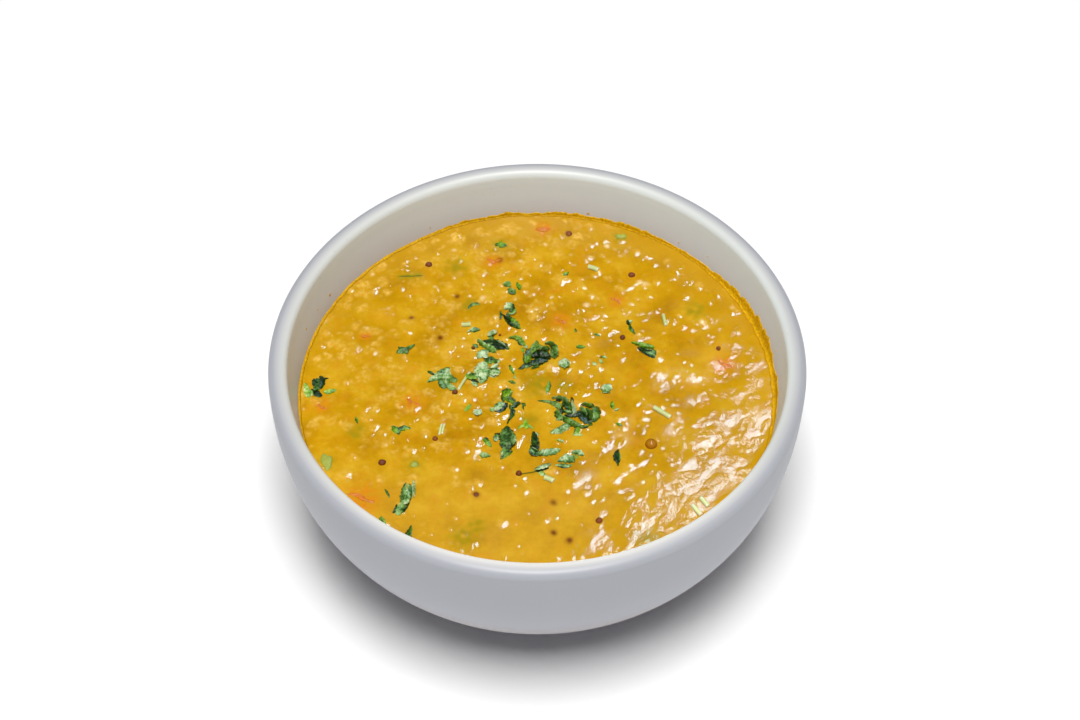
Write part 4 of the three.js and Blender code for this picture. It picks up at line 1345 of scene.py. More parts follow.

# %% [markdown]
# ## Where each fragment lies
#
# Every fragment is a short list: how pale it is, from 0 for the dark face to 1 for the pale back,
# how fresh its green is, from 0 for blue-green to 1 for yellow-green, then the rows of its spine.
# Paleness also carries painted light and shade: the darkest fragments stand for shade in the
# crevices of the clumps, and the palest partly for painted sheen on their tops.
# The clumps need nine to fifteen fragments each, a single leaflet one to seven.

# %% The fragments
# Each row of a spine holds x, y, width and height over the dal, in mm.
FRAGMENTS = {
    "tuft_west": [
        (0.68, 0.1, (-31.2, 2.9, 0.5, 0.2), (-29.6, 4.2, 1.8, 0.5), (-27.6, 4.8, 2.8, 0.9),
         (-25.6, 4.7, 3, 1), (-24, 5.4, 1.6, 0.7)),
        (0.62, 0.1, (-26.6, 4.9, 2, 0.9), (-26.2, 6.4, 2.8, 1.2), (-25.6, 7.6, 2, 1),
         (-24.9, 8.2, 0.5, 0.6)),
        (0.5, 0.1, (-29, 5.4, 1.2, 0.3), (-27.8, 6.2, 2, 0.5), (-26.6, 7.2, 1.4, 0.6)),
        (0.55, 0.1, (-27.4, 4, 1.2, 0.6), (-26.9, 2.6, 2.2, 0.5), (-26.4, 1.2, 1.6, 0.2),
         (-26.3, 0.5, 0.4, 0.1)),
        (0.05, 0.1, (-27.9, 3.6, 0.8, 0.2), (-27.6, 2.4, 1, 0.2), (-26.8, 1, 0.8, 0.1)),
        (0.85, 0.1, (-26.5, 4.4, 0.6, 1.1), (-26.1, 3.2, 1, 0.9), (-25.9, 2.2, 0.5, 0.6)),
        (0.66, 0.2, (-25.9, 3.4, 1.2, 0.7), (-25, 1.8, 1.8, 0.6), (-23.9, 0.6, 1.7, 0.4),
         (-22.9, -0.1, 0.6, 0.2)),
        (0.4, 0.4, (-24.9, 4.2, 1.4, 0.5), (-23.7, 3.8, 2, 0.3), (-23, 3, 0.8, 0.1)),
        (0.1, 0.5, (-31.3, 7.1, 0.5, 0.5), (-30.6, 6.5, 1, 0.5), (-29.4, 5.6, 0.7, 0.4)),
    ],
    "tuft_pale": [
        (0.84, 0.1, (-14.6, 10.4, 1.2, 0.6), (-15.4, 9, 3.4, 1), (-15.9, 7.2, 4.2, 1.3),
         (-15.8, 5.4, 3.8, 1), (-15.7, 3.8, 2.2, 0.6), (-16, 2.4, 0.6, 0.2)),
        (0.5, 0.1, (-16.8, 6.4, 1, 0.6), (-15.4, 5, 2.4, 0.7), (-14.4, 4, 1.4, 0.4)),
        (0.35, 0.75, (-20.3, 5.9, 0.8, 0.7), (-19.4, 5.2, 2, 0.8), (-18.1, 5.2, 2.2, 0.7),
         (-16.9, 4.6, 1.4, 0.5)),
        (0.08, 0.3, (-19.4, 4.3, 0.7, 0.1), (-18, 3.6, 0.9, 0.1), (-16.6, 2.9, 0.7, 0.1)),
        (0.78, 0.1, (-18.6, 3.2, 0.7, 0.3), (-17.7, 2.4, 1.3, 0.3), (-16.9, 1.2, 0.5, 0.2)),
        (0.7, 0.1, (-14.2, 7.4, 1.2, 0.6), (-12.9, 7, 2.6, 0.9), (-11.6, 6.9, 2.6, 0.9),
         (-10.5, 7.1, 0.9, 0.5)),
        (0.95, 0, (-13.2, 8.2, 0.8, 0.9), (-12, 8.8, 1.6, 1.3), (-11.1, 9.6, 0.9, 1.1)),
        (0.2, 0.2, (-13.4, 8, 0.6, 0.4), (-12.2, 7.6, 1, 0.5), (-11, 8, 0.6, 0.4)),
        (0.75, 0.2, (-12.2, 11.2, 0.6, 0.4), (-11.4, 10.8, 1.4, 0.5), (-10.6, 10.3, 0.5, 0.4)),
        (0.12, 0.8, (-15.1, 11.6, 1.4, 0.3), (-13.8, 11.1, 2.8, 0.5), (-12.4, 10.9, 2.2, 0.5),
         (-11.9, 9.8, 0.8, 0.3)),
        (0.55, 0.1, (-13.9, 6, 0.8, 0.3), (-12.8, 5.4, 1.4, 0.3), (-11.6, 5.2, 0.8, 0.2)),
    ],
    "tuft_north": [
        (0.88, 0, (-16.9, 11.8, 1, 0.4), (-16.2, 13, 2.6, 0.9), (-15.2, 14, 2.6, 1.2),
         (-14.3, 14.9, 1.2, 1)),
        (0.78, 0, (-15.4, 13.2, 1, 0.8), (-14.6, 12.7, 1.8, 0.7), (-13.9, 12.6, 0.6, 0.5)),
        (0.6, 0.25, (-17.1, 18.9, 0.9, 0.6), (-16.4, 17.9, 1.7, 0.9), (-15.3, 16.8, 1.7, 1.1),
         (-14, 15.8, 2.1, 1.2), (-12.8, 14.8, 2.2, 0.9), (-11.9, 14, 0.9, 0.5)),
        (0.02, 0, (-15.6, 18.4, 1, 0.3), (-14.2, 17.8, 2.2, 0.5), (-12.6, 17.6, 3, 0.7),
         (-10.8, 16.9, 2.8, 0.6), (-9.2, 16.4, 2, 0.4), (-8.3, 16, 0.6, 0.3)),
        (0.2, 0.2, (-14.8, 17, 1.2, 0.5), (-12.8, 16.2, 1.8, 0.6), (-10.8, 15.6, 1.4, 0.4)),
        (0.72, 0, (-11.9, 18.5, 0.6, 0.9), (-10.9, 18, 0.9, 1), (-9.7, 17, 0.8, 0.8),
         (-9, 16.2, 0.4, 0.6)),
        (0.55, 0, (-14.4, 17.4, 0.6, 1), (-13.6, 17.2, 1.1, 1.1), (-12.7, 17.5, 0.5, 1)),
        (0.88, 0, (-14.3, 20.2, 0.6, 0.5), (-13.4, 21.2, 1.6, 0.9), (-12.4, 21.8, 1.6, 0.9),
         (-11.6, 21.6, 0.6, 0.6)),
        (0.45, 0.1, (-13.7, 20.4, 1, 0.4), (-13.3, 19.4, 1.4, 0.5), (-13, 18.4, 0.9, 0.5)),
        (0.5, 0.2, (-18.6, 16.9, 0.6, 0.3), (-17.9, 16.6, 1.4, 0.4), (-17.2, 15.8, 0.8, 0.3)),
        (0, 0, (-18.8, 15.8, 0.5, 0.2), (-18.3, 15.6, 0.9, 0.3), (-17.9, 15.3, 0.4, 0.2)),
        (0.5, 0, (-9.2, 15.6, 0.6, 0.4), (-8.5, 15.7, 1.1, 0.5), (-8, 15.9, 0.4, 0.3)),
    ],
    "tuft_dark": [
        (0.24, 0.6, (-3.1, 9.8, 1.2, 0.4), (-2.9, 11.6, 2.4, 0.9), (-2.2, 13.4, 3.2, 1.3),
         (-0.9, 14.8, 2.8, 1.4), (0.2, 15.4, 1.2, 1.2)),
        (0.45, 0.35, (-1.5, 14.6, 1.2, 1.2), (-0.6, 16, 2.6, 1.5), (-0.2, 17.4, 1.6, 1.2),
         (-0.3, 18.5, 0.4, 0.8)),
        (0.5, 0.3, (-0.4, 15.4, 1, 1.4), (0.7, 16.1, 1.8, 1.6), (1.6, 16.5, 0.8, 1.4)),
        (0, 0, (-1.6, 12.2, 1.6, 1.2), (-0.2, 13, 2.8, 1.6), (1.4, 12.8, 3.4, 1.9), (2.9, 12.2, 2.8, 1.6),
         (3.6, 11.6, 1, 1)),
        (0.02, 0.1, (-3, 9.6, 1, 0.3), (-1.6, 9.8, 2.2, 0.7), (0, 10.4, 3, 1), (1.8, 10.9, 2.4, 1),
         (3, 10.6, 0.9, 0.6)),
        (0.2, 0.3, (0.2, 14.8, 0.8, 1.6), (1.2, 15, 1.4, 1.9), (2.4, 14.4, 1.4, 1.8),
         (3.2, 13.6, 0.6, 1.4)),
        (0.36, 0.2, (2.2, 17.2, 0.8, 0.9), (3.3, 17.6, 1.5, 1.3), (4.5, 16.6, 1.9, 1.5), (5, 15, 2, 1.4),
         (5, 13.4, 2, 1.1), (4.4, 12, 1.2, 0.7)),
        (0.58, 0.1, (4, 15.2, 0.6, 1.7), (4.2, 13.8, 1.1, 1.6), (4.3, 12.4, 0.8, 1.1)),
        (0.05, 0, (5.2, 17, 0.6, 0.6), (5.5, 15.6, 0.8, 0.5), (5.6, 14, 0.7, 0.4)),
        (0.3, 0.4, (1.4, 16.2, 0.8, 1.1), (2.6, 15.8, 1.4, 1.4), (3.6, 15.4, 0.7, 1.3)),
        (0.06, 0.4, (-5.4, 7.9, 0.5, 0.2), (-4.4, 8.3, 1.2, 0.4), (-3.2, 9.2, 1.6, 0.5),
         (-2.2, 8.6, 1, 0.3)),
        (0.62, 0.2, (-3.5, 8.9, 0.5, 0.7), (-2.9, 8.7, 1, 0.8), (-2.3, 8.6, 0.4, 0.6)),
        (0.5, 0.2, (-1.8, 8.1, 0.4, 0.3), (-0.8, 8.5, 0.8, 0.4), (0.5, 8.7, 0.6, 0.4)),
    ],
    "tuft_curl": [
        (0.3, 1, (-9.6, -2.3, 0.8, 0.6), (-9.1, -1.2, 2.2, 1), (-8.4, -0.3, 2.4, 1.1),
         (-7.4, 0.2, 0.9, 0.8)),
        (0.75, 0.5, (-8, -2, 0.5, 1.2), (-7.5, -1, 1, 1.3), (-7, -0.3, 0.5, 1.1)),
        (0.25, 0.65, (-9.4, -3, 1.2, 0.5), (-8.2, -3, 2.2, 0.9), (-7.2, -3.6, 2, 0.8),
         (-6.9, -4.8, 1.2, 0.4)),
        (0.8, 0, (-12, -7.2, 1, 0.4), (-11.2, -6.2, 2.2, 0.8), (-10.2, -5.2, 2.4, 1),
         (-9.3, -4.3, 1.2, 0.9)),
        (0, 0, (-8.6, -4.4, 0.8, 0.3), (-9, -5.8, 1.2, 0.4), (-9.8, -7, 1.3, 0.4), (-11, -7.7, 0.8, 0.2),
         (-12, -7.7, 0.4, 0.1)),
        (0.15, 0.2, (-9.9, -1.6, 0.5, 0.3), (-9.9, -2.9, 0.8, 0.3), (-9.4, -4, 0.8, 0.3)),
        (0.65, 0.4, (-13.4, -6.5, 0.5, 0.3), (-12.8, -6.8, 1.4, 0.4), (-12.4, -7.7, 0.6, 0.3)),
        (0.04, 0.4, (-7.3, -6.4, 0.8, 0.4), (-6.4, -5.6, 1.7, 0.7), (-5.6, -4.7, 1.6, 0.8),
         (-4.7, -4.7, 0.8, 0.5)),
        (0.35, 0.2, (-7.9, -5, 0.5, 0.6), (-7.5, -6, 0.9, 0.6), (-7.2, -7, 0.5, 0.5)),
        (0.18, 0.2, (-7, -6.4, 1, 0.3), (-6.9, -7.8, 1.4, 0.4), (-7.1, -9.2, 1.2, 0.4),
         (-7.9, -10.6, 0.6, 0.3), (-8.4, -12, 0.5, 0.4)),
        (0.1, 0.6, (-4.5, -4.5, 0.4, 0.3), (-3.9, -4.9, 0.8, 0.3), (-3.3, -5.5, 0.4, 0.2)),
        (0.1, 0.6, (-4, -5.2, 0.4, 0.2), (-4, -6.2, 0.6, 0.2), (-3.8, -6.9, 0.3, 0.1)),
    ],
    "tuft_star": [
        (0.6, 0.15, (0.1, -3.8, 0.3, 0.3), (1.6, -4, 0.8, 0.7), (3.4, -4.3, 1.1, 1), (4.8, -4.8, 1.7, 1.3),
         (5.8, -5.6, 1.9, 1.4), (6.2, -6.9, 1, 1)),
        (0.6, 0.1, (4.1, -2.9, 0.6, 0.8), (5.4, -2.6, 1.3, 1.1), (7, -2.8, 1.7, 1.4),
         (8.2, -3.6, 1.5, 1.3), (8.8, -4.4, 0.6, 1)),
        (0, 0, (5.2, -3.6, 0.4, 0.5), (6.4, -3.4, 0.8, 0.6), (6.9, -2.6, 0.5, 0.7)),
        (0.08, 0.45, (6.9, -4.8, 1.2, 0.8), (8.2, -4.9, 2.4, 1.1), (9.2, -6, 2.4, 1.1),
         (9, -7.4, 1.4, 0.8)),
        (0.97, 0, (9.9, -3.4, 0.5, 1.5), (10, -5, 0.9, 1.7), (10.4, -6.6, 1.3, 1.7),
         (10.5, -7.8, 1.2, 1.4), (10, -9.2, 0.5, 0.9)),
        (0.05, 0.1, (9.7, -2.3, 0.5, 0.8), (9.8, -3.6, 0.9, 1), (9.6, -5, 0.5, 0.9)),
        (0.42, 0.2, (5.5, -7, 0.9, 0.6), (5.7, -8.4, 1.9, 0.9), (6.2, -9.8, 2, 0.8),
         (6.8, -10.8, 0.9, 0.5)),
        (0.05, 0.1, (6.8, -5.8, 0.8, 0.6), (6.9, -7, 1.1, 0.6), (7, -8.4, 0.7, 0.5)),
        (0.5, 0.1, (7, -7.3, 0.7, 1), (8.2, -7.8, 1.4, 1.3), (9.4, -8, 1.3, 1.2), (10, -7.8, 0.5, 1)),
        (0.03, 0, (7.6, -9, 0.6, 0.4), (9.2, -9.3, 1.3, 0.5), (10.8, -9, 1.9, 0.6),
         (11.5, -9.4, 0.8, 0.4)),
        (0.34, 0.35, (6.8, -9.4, 0.9, 0.6), (8, -10.6, 2.1, 1), (9.6, -11.8, 2.4, 1.2),
         (11.4, -12.8, 1.8, 0.9), (13, -13.2, 1, 0.5), (14.6, -12.6, 0.5, 0.3)),
        (0.04, 0, (11.8, -13, 0.5, 0.3), (12.8, -13.2, 0.9, 0.3), (14.2, -13, 0.6, 0.2)),
        (0.6, 0, (5.2, -10.8, 0.5, 0.3), (6.4, -10.5, 1.2, 0.5), (7.4, -10.8, 0.6, 0.4)),
        (0.35, 0.9, (11.2, -13.2, 0.9, 0.5), (11.2, -14.4, 1.6, 0.5), (10.8, -15.4, 1.3, 0.4),
         (10, -15.9, 0.5, 0.2)),
        (0.75, 0.5, (9.9, -16.2, 0.5, 0.2), (11.2, -15.8, 1, 0.3), (12.6, -16.1, 0.6, 0.2)),
    ],
    "tuft_ball": [
        (0.58, 0.1, (12.2, -5.8, 0.7, 0.9), (12.8, -7, 1.6, 1.3), (13.5, -8.2, 1, 1.1),
         (13.8, -9, 0.4, 0.8)),
        (0.3, 0.4, (12.3, -5.2, 0.7, 0.8), (13.6, -4.9, 1.6, 1.2), (14.8, -5.6, 1.6, 1.3),
         (15.6, -6.2, 0.7, 1)),
        (0.42, 0.2, (15.4, -5.9, 0.9, 1.1), (16.5, -6.9, 2, 1.3), (16.7, -8.6, 2.2, 1.2),
         (16.3, -10.2, 1.8, 0.8), (15.7, -11.2, 0.7, 0.4)),
        (0.14, 0.3, (13.6, -6.4, 0.9, 0.9), (14.3, -7.8, 2.2, 1.2), (14.8, -9.2, 2.2, 1),
         (15, -10.4, 1, 0.6)),
        (0.34, 0.35, (14.6, -7, 0.5, 1.5), (15.4, -8.2, 1.5, 1.6), (15.2, -9.6, 1.3, 1.3),
         (14.8, -10.4, 0.5, 0.9)),
        (0, 0.1, (11.4, -7.4, 0.7, 0.3), (12.2, -8.8, 1.8, 0.5), (13.2, -10.2, 2.4, 0.5),
         (14.2, -11.4, 1.6, 0.3), (15.2, -11.9, 0.5, 0.1)),
        (0.03, 0.2, (13.6, -11.6, 0.5, 0.2), (15, -11.3, 1, 0.3), (16.8, -10.9, 0.6, 0.2)),
        (0, 0, (14.9, -5, 0.3, 0.9), (15.4, -5.3, 0.9, 1), (15.9, -5.6, 0.3, 0.8)),
        (0.2, 0.6, (14.4, -12.3, 0.4, 0.2), (15, -12.2, 0.9, 0.3), (15.5, -12, 0.3, 0.2)),
    ],
    "tuft_edge": [
        (0.42, 0, (-62.3, 4.4, 0.7, 0.9), (-62.4, 3.2, 1.8, 1.2), (-62.2, 1.8, 1.6, 1.3),
         (-62.6, 0.4, 1.8, 1.1), (-62.8, -0.4, 0.6, 0.8)),
        (0.04, 0, (-63.4, 4.2, 0.6, 0.5), (-63.4, 3, 1.2, 0.6), (-63, 1.6, 1, 0.5)),
        (0.06, 0.05, (-61.9, 5.2, 0.5, 0.4), (-61.2, 4.4, 1.4, 0.7), (-61, 3, 1.6, 0.8),
         (-61.2, 1.6, 1.4, 0.7), (-61.2, 0.6, 0.6, 0.5)),
        (0, 0, (-64, 0.4, 0.5, 0.2), (-62.9, -0.6, 1.6, 0.4), (-61.8, -1.6, 1.8, 0.4),
         (-60.8, -2, 0.6, 0.2)),
        (0.1, 0.1, (-61.2, 4.3, 0.4, 0.4), (-60.2, 4.2, 0.7, 0.4), (-59.4, 4.4, 0.3, 0.3)),
        (0.75, 0, (-63.3, 0.7, 0.3, 1.3), (-62.9, 0.5, 0.8, 1.4), (-62.4, 0.4, 0.3, 1.3)),
        (0.45, 0.9, (-60.6, -0.6, 0.6, 0.2), (-59.2, -0.5, 1.7, 0.4), (-57.8, -0.1, 1.3, 0.3),
         (-56.9, 0.2, 0.4, 0.1)),
        (0.7, 0.6, (-65.9, 2.6, 0.6, 0.2), (-65.4, 0.6, 1.8, 0.4), (-65, -1.4, 1.8, 0.4),
         (-64.6, -2.8, 0.6, 0.1)),
        (0.8, 0.3, (-64.6, 0.2, 0.6, 0.3), (-64, -1, 1.4, 0.4), (-63.8, -2, 0.6, 0.2)),
    ],
    "leaf_far": [
        (0.6, 0.2, (-10, 40.6, 0.8, 0.3), (-8.9, 40.2, 2.4, 0.7), (-8.2, 39.2, 1.6, 0.5)),
        (0.45, 0.2, (-8.4, 38.6, 1, 0.4), (-7.3, 37.4, 2.2, 0.6), (-6.4, 36.4, 0.8, 0.3)),
        (0.3, 0.7, (-6, 40.8, 0.5, 0.3), (-5.4, 39.4, 1.4, 0.4), (-5.2, 38, 0.8, 0.2)),
    ],
    "leaf_hood": [
        (0.85, 0.1, (-9.6, 30.4, 0.8, 0.7), (-8.6, 31.3, 2.2, 1.2), (-7.8, 32.2, 2, 1),
         (-7.3, 32.8, 0.6, 0.6)),
        (0.05, 0.5, (-7, 32.4, 0.5, 0.4), (-7.2, 30.8, 1.4, 0.6), (-7.9, 29.4, 1.2, 0.4)),
        (0.6, 0.3, (-8.2, 28.6, 0.6, 0.6), (-6.9, 29.4, 1.4, 0.7), (-6.4, 30.6, 0.6, 0.5)),
    ],
    "leaf_blade_north": [
        (0.02, 0, (-10, 28.3, 0.3, 0.4), (-9.2, 27, 1, 0.6), (-8.2, 25.4, 1.4, 0.7), (-7.2, 23.8, 1, 0.4)),
        (0.15, 0.8, (-8.2, 27.6, 0.6, 0.8), (-7.4, 26.2, 2, 1.1), (-6.4, 24.6, 2.4, 1),
         (-5.4, 23.4, 1.2, 0.5), (-4.9, 22.9, 0.3, 0.3)),
        (0.25, 0.5, (-8.6, 29, 0.6, 0.5), (-8.4, 28, 1.2, 0.7), (-8, 27, 0.6, 0.7)),
        (0.1, 0.5, (-10.8, 29.6, 0.4, 0.1), (-10.5, 28.2, 0.8, 0.2), (-10.8, 26.4, 0.5, 0.1)),
    ],
    "leaf_pale_west": [
        (0.5, 0.1, (-19.4, 22, 0.6, 0.3), (-18.5, 22.2, 1.4, 0.5), (-17.4, 22.6, 1.6, 0.5),
         (-16.6, 22.4, 0.5, 0.3)),
        (0.95, 0, (-20.3, 21.6, 0.4, 0.5), (-19.2, 22.6, 0.5, 0.6), (-18.2, 23.7, 0.3, 0.5)),
    ],
    "leaf_green_mid": [
        (0.45, 0.6, (-8.2, 19.7, 0.4, 0.3), (-7, 19.9, 1, 0.5), (-5.6, 19.6, 1.6, 0.6),
         (-4.8, 18.6, 1.6, 0.5), (-4, 17.4, 1.2, 0.3), (-3.5, 16.6, 0.4, 0.2)),
        (0.08, 0.5, (-5.6, 18.2, 0.5, 0.2), (-4.8, 17.3, 1.2, 0.3), (-3.8, 17.2, 0.6, 0.2)),
        (0.85, 0.2, (-4, 16.2, 0.4, 0.2), (-3.3, 16.2, 1.1, 0.4), (-2.9, 16.8, 0.4, 0.2)),
        (0.4, 0.7, (-4.6, 15.8, 0.4, 0.1), (-4.2, 15, 1, 0.2), (-4, 14, 0.4, 0.1)),
    ],
    "leaf_speck_east": [
        (0.03, 0, (26.2, 26.4, 0.4, 0.4), (26.2, 25.4, 1, 0.5), (26.8, 24.4, 0.7, 0.4)),
        (0.85, 0, (26.5, 26.3, 0.5, 0.7), (26.8, 25.8, 1.3, 0.8), (27.1, 25.2, 0.4, 0.6)),
        (0.2, 0.7, (26.7, 24.4, 0.6, 0.3), (27, 23, 1.2, 0.4), (27.8, 21.6, 0.8, 0.2),
         (28.2, 20.9, 0.3, 0.1)),
    ],
    "leaf_east": [
        (0.4, 0.75, (27, 18, 0.4, 0.4), (28.4, 17.4, 1.2, 0.8), (30.2, 16.8, 2, 1.1), (32, 16.2, 1.9, 1.1),
         (33.6, 15.9, 1, 0.7)),
        (0, 0, (28.8, 15.8, 0.5, 0.2), (30.2, 14.6, 1, 0.4), (31.8, 13.2, 1, 0.3), (33.6, 11.8, 0.6, 0.1)),
        (0.6, 0, (29.4, 15.6, 0.5, 0.6), (30.8, 14.7, 1.6, 0.8), (32.4, 13.6, 1.6, 0.7),
         (33.8, 11.9, 0.4, 0.3)),
        (0.02, 0, (29.6, 16, 0.4, 0.8), (31.4, 15, 0.6, 0.9), (33, 14.7, 0.4, 0.8)),
        (0.55, 0.2, (32.6, 15.2, 0.6, 0.6), (33.4, 14.4, 1.2, 0.6), (33.8, 12.8, 0.6, 0.3)),
    ],
    "leaf_round_north": [
        (0.88, 0, (6.1, 9.2, 0.8, 0.3), (7, 9.7, 2.8, 0.7), (8.1, 9.8, 3.4, 0.9), (9.1, 9.4, 1.4, 0.5)),
        (0.45, 0.1, (8.6, 8.6, 0.4, 0.9), (8.8, 9.4, 1, 1), (8.5, 10.4, 0.4, 0.9)),
        (0.97, 0, (7.3, 8.8, 0.4, 1), (7.6, 9.6, 0.8, 1.2), (7.5, 10.5, 0.4, 1)),
    ],
    "leaf_round_east": [
        (0.78, 0, (17.9, 0.6, 0.6, 0.3), (18.9, 0.8, 2.6, 0.8), (20.1, 0.9, 3.2, 0.9),
         (21.2, 0.5, 1.2, 0.4)),
        (0.5, 0.1, (18.4, -0.6, 0.4, 0.4), (19.4, -0.4, 0.9, 0.5), (20.6, -0.6, 0.4, 0.4)),
    ],
    "leaf_west": [
        (0.42, 0.2, (-40.2, 13.9, 0.7, 0.3), (-39.2, 14.6, 2.4, 0.6), (-38, 14.8, 2.4, 0.6),
         (-37.4, 13.6, 0.8, 0.3)),
        (0.38, 0.35, (-38.4, 14.8, 0.9, 0.6), (-37.2, 15.8, 1.3, 0.6), (-36, 16.5, 1, 0.4),
         (-35.2, 17.2, 0.3, 0.2)),
        (0.4, 0.3, (-40, 16.2, 0.3, 0.1), (-39.4, 15.6, 0.8, 0.3), (-38.8, 15, 0.5, 0.4)),
    ],
    "leaf_pale_mid": [
        (0.98, 0, (-18, -8.3, 0.8, 0.3), (-17.2, -8, 2.2, 0.6), (-16.4, -7.9, 2.4, 0.7),
         (-15.6, -8.3, 0.8, 0.3)),
    ],
    "leaf_sprout": [
        (0.5, 1, (-3.1, -10.4, 0.3, 0.1), (-3.3, -11.6, 1.2, 0.3), (-3.2, -12.8, 1.4, 0.3),
         (-2.9, -13.8, 0.6, 0.1)),
        (0.55, 0.9, (-5.4, -13.8, 0.3, 0), (-4.6, -12.9, 0.8, 0.1), (-3.6, -12.4, 0.7, 0.2)),
        (0.55, 0.9, (-2.9, -12.2, 0.6, 0.2), (-2, -12.9, 0.8, 0.1), (-1.2, -13.8, 0.3, 0)),
    ],
    "leaf_drop": [
        (0.28, 0.05, (-8.5, -12.7, 0.6, 0.5), (-8.5, -14.4, 3, 1.1), (-8.4, -16.4, 4.4, 1.5),
         (-8.3, -18.4, 4.4, 1.4), (-8.1, -20, 3.4, 0.9), (-7.6, -20.9, 1.4, 0.5)),
        (0.5, 0, (-7.6, -14.4, 0.8, 1.7), (-7.2, -16.2, 2, 2), (-7, -18, 2.2, 1.9), (-7.2, -19.4, 1, 1.4)),
        (0.04, 0, (-10.1, -17.4, 0.4, 0.3), (-9.9, -19.4, 1, 0.4), (-8.8, -20.4, 1.2, 0.5),
         (-7.2, -20.5, 1, 0.4)),
        (0.6, 0.1, (-9.4, -20.2, 0.8, 0.9), (-8.9, -21.2, 2.4, 1.1), (-9.1, -22.2, 2.2, 0.8),
         (-9.9, -23.4, 0.8, 0.4)),
        (0.3, 0.5, (-6.9, -21.4, 0.6, 0.3), (-8, -22.4, 1.4, 0.5), (-9.3, -23.4, 1.4, 0.4),
         (-10.2, -24.5, 0.3, 0.2)),
        (0.7, 0, (-11.3, -15.9, 0.5, 0.4), (-11.5, -16.9, 1.6, 0.7), (-11.4, -18.2, 0.8, 0.4)),
        (0.1, 0.2, (-11.9, -15.6, 0.4, 0.2), (-10.9, -15.7, 0.7, 0.3), (-10.2, -16.6, 0.5, 0.2)),
    ],
    "leaf_hook": [
        (0.14, 0.05, (-1.1, -14.6, 0.5, 0.5), (-0.9, -15.8, 1.4, 0.9), (-0.7, -17.4, 2.1, 1.1),
         (-0.6, -19.2, 2.3, 1.1), (-0.9, -20.8, 2.5, 0.9), (-1, -22, 1.8, 0.5)),
        (0.5, 0, (-1.9, -20.6, 0.6, 0.9), (-1.4, -21.6, 2, 0.8), (-0.4, -22.6, 1.6, 0.6),
         (0.4, -23.2, 0.5, 0.3)),
        (0.75, 0, (-1.6, -20.2, 0.3, 1.2), (-0.6, -20.8, 0.5, 1.2), (0.1, -21.6, 0.3, 1)),
        (0.8, 0, (-0.3, -14.9, 0.4, 0.6), (0, -15.6, 0.7, 0.6), (0.3, -16.2, 0.3, 0.4)),
    ],
    "leaf_flag": [
        (0.7, 0.05, (0.1, -22.6, 1.2, 0.5), (1.2, -22.3, 2.3, 0.9), (3, -22.1, 2.5, 1),
         (4.8, -21.7, 2.2, 0.8), (6.4, -21.1, 0.8, 0.4)),
        (0.85, 0, (0.6, -22.9, 0.4, 1.1), (1.4, -22, 0.5, 1.3), (1.9, -21.2, 0.3, 1.1)),
    ],
    "leaf_oar": [
        (0.75, 0, (3.7, -15.1, 0.8, 0.3), (4.8, -14.9, 1.8, 0.6), (6.4, -14.3, 2.3, 1),
         (7.9, -13.3, 2.2, 1.1), (9.3, -12.8, 0.8, 0.8)),
        (0.92, 0, (4.6, -15.4, 0.4, 0.8), (5, -14.8, 0.7, 1), (5.2, -14.2, 0.3, 0.9)),
        (0.45, 0, (6.6, -13, 0.6, 0.9), (7.8, -12.6, 1.2, 1.1), (8.8, -12.4, 0.5, 1)),
    ],
    "leaf_bright": [
        (0.8, 0.4, (5.5, -17.9, 0.4, 0.1), (6, -17.8, 1.1, 0.3), (6.5, -17.9, 0.3, 0.2)),
        (0.8, 0.1, (6.5, -17.9, 0.3, 0.2), (6.9, -18.2, 1, 0.3), (7.3, -18.6, 0.3, 0.1)),
    ],
    "leaf_fan": [
        (0.7, 0, (5.6, -25.4, 0.6, 0.3), (6.9, -24.8, 2, 0.8), (8.3, -24.3, 3.4, 1.1),
         (9.6, -24, 2.8, 0.9), (10.2, -23.4, 0.8, 0.5)),
        (0.7, 0, (9.4, -22.2, 0.5, 0.5), (10.6, -22, 1.6, 0.8), (11.8, -22.3, 2, 0.8),
         (12.8, -23.2, 0.8, 0.4)),
        (0.5, 0.7, (9.8, -22.8, 0.4, 0.3), (10.8, -23.6, 0.6, 0.2), (11.4, -24.4, 0.3, 0.1)),
        (0.6, 0.1, (4.9, -26.6, 0.4, 0.2), (6.4, -26.6, 1, 0.4), (8.4, -26.9, 1.1, 0.4),
         (9.7, -26.6, 0.4, 0.2)),
        (0.06, 0.1, (5.6, -27.1, 0.3, 0), (7.6, -27.5, 0.6, 0.1), (9.2, -27.2, 0.3, 0)),
    ],
    "leaf_split": [
        (0.85, 0, (-0.8, -28.1, 0.4, 0.4), (0.8, -27.4, 1.3, 0.8), (2.4, -26.8, 1.4, 0.9),
         (3.8, -26, 0.4, 0.5)),
        (0.03, 0, (-0.6, -28.7, 0.3, 0.1), (0.8, -28.5, 0.9, 0.2), (2.2, -27.9, 0.9, 0.2),
         (3.2, -27.8, 0.4, 0.1)),
        (0.7, 0.4, (0.4, -29, 0.6, 0.2), (1.2, -29.5, 1.5, 0.3), (2.2, -30.3, 0.5, 0.1)),
    ],
    "leaf_cup": [
        (0.55, 0.25, (-16.1, -23, 0.6, 0.2), (-15.2, -22.9, 2, 0.5), (-14.2, -23, 1.8, 0.5),
         (-13, -23.3, 0.5, 0.2)),
    ],
    "leaf_small_west": [
        (0.3, 0.9, (-15.3, -17.5, 0.5, 0.3), (-14.4, -17.9, 1.5, 0.5), (-13.6, -19, 1.5, 0.5),
         (-12.9, -20.2, 0.5, 0.2)),
        (0.05, 0.3, (-14.9, -17.2, 0.3, 0.4), (-14.1, -17.2, 0.7, 0.5), (-13.6, -17.4, 0.3, 0.4)),
    ],
    "leaf_point": [
        (0.06, 0.1, (22.5, -20.9, 0.4, 0.4), (22.1, -22.4, 1.7, 0.8), (22, -23.8, 1.9, 0.8),
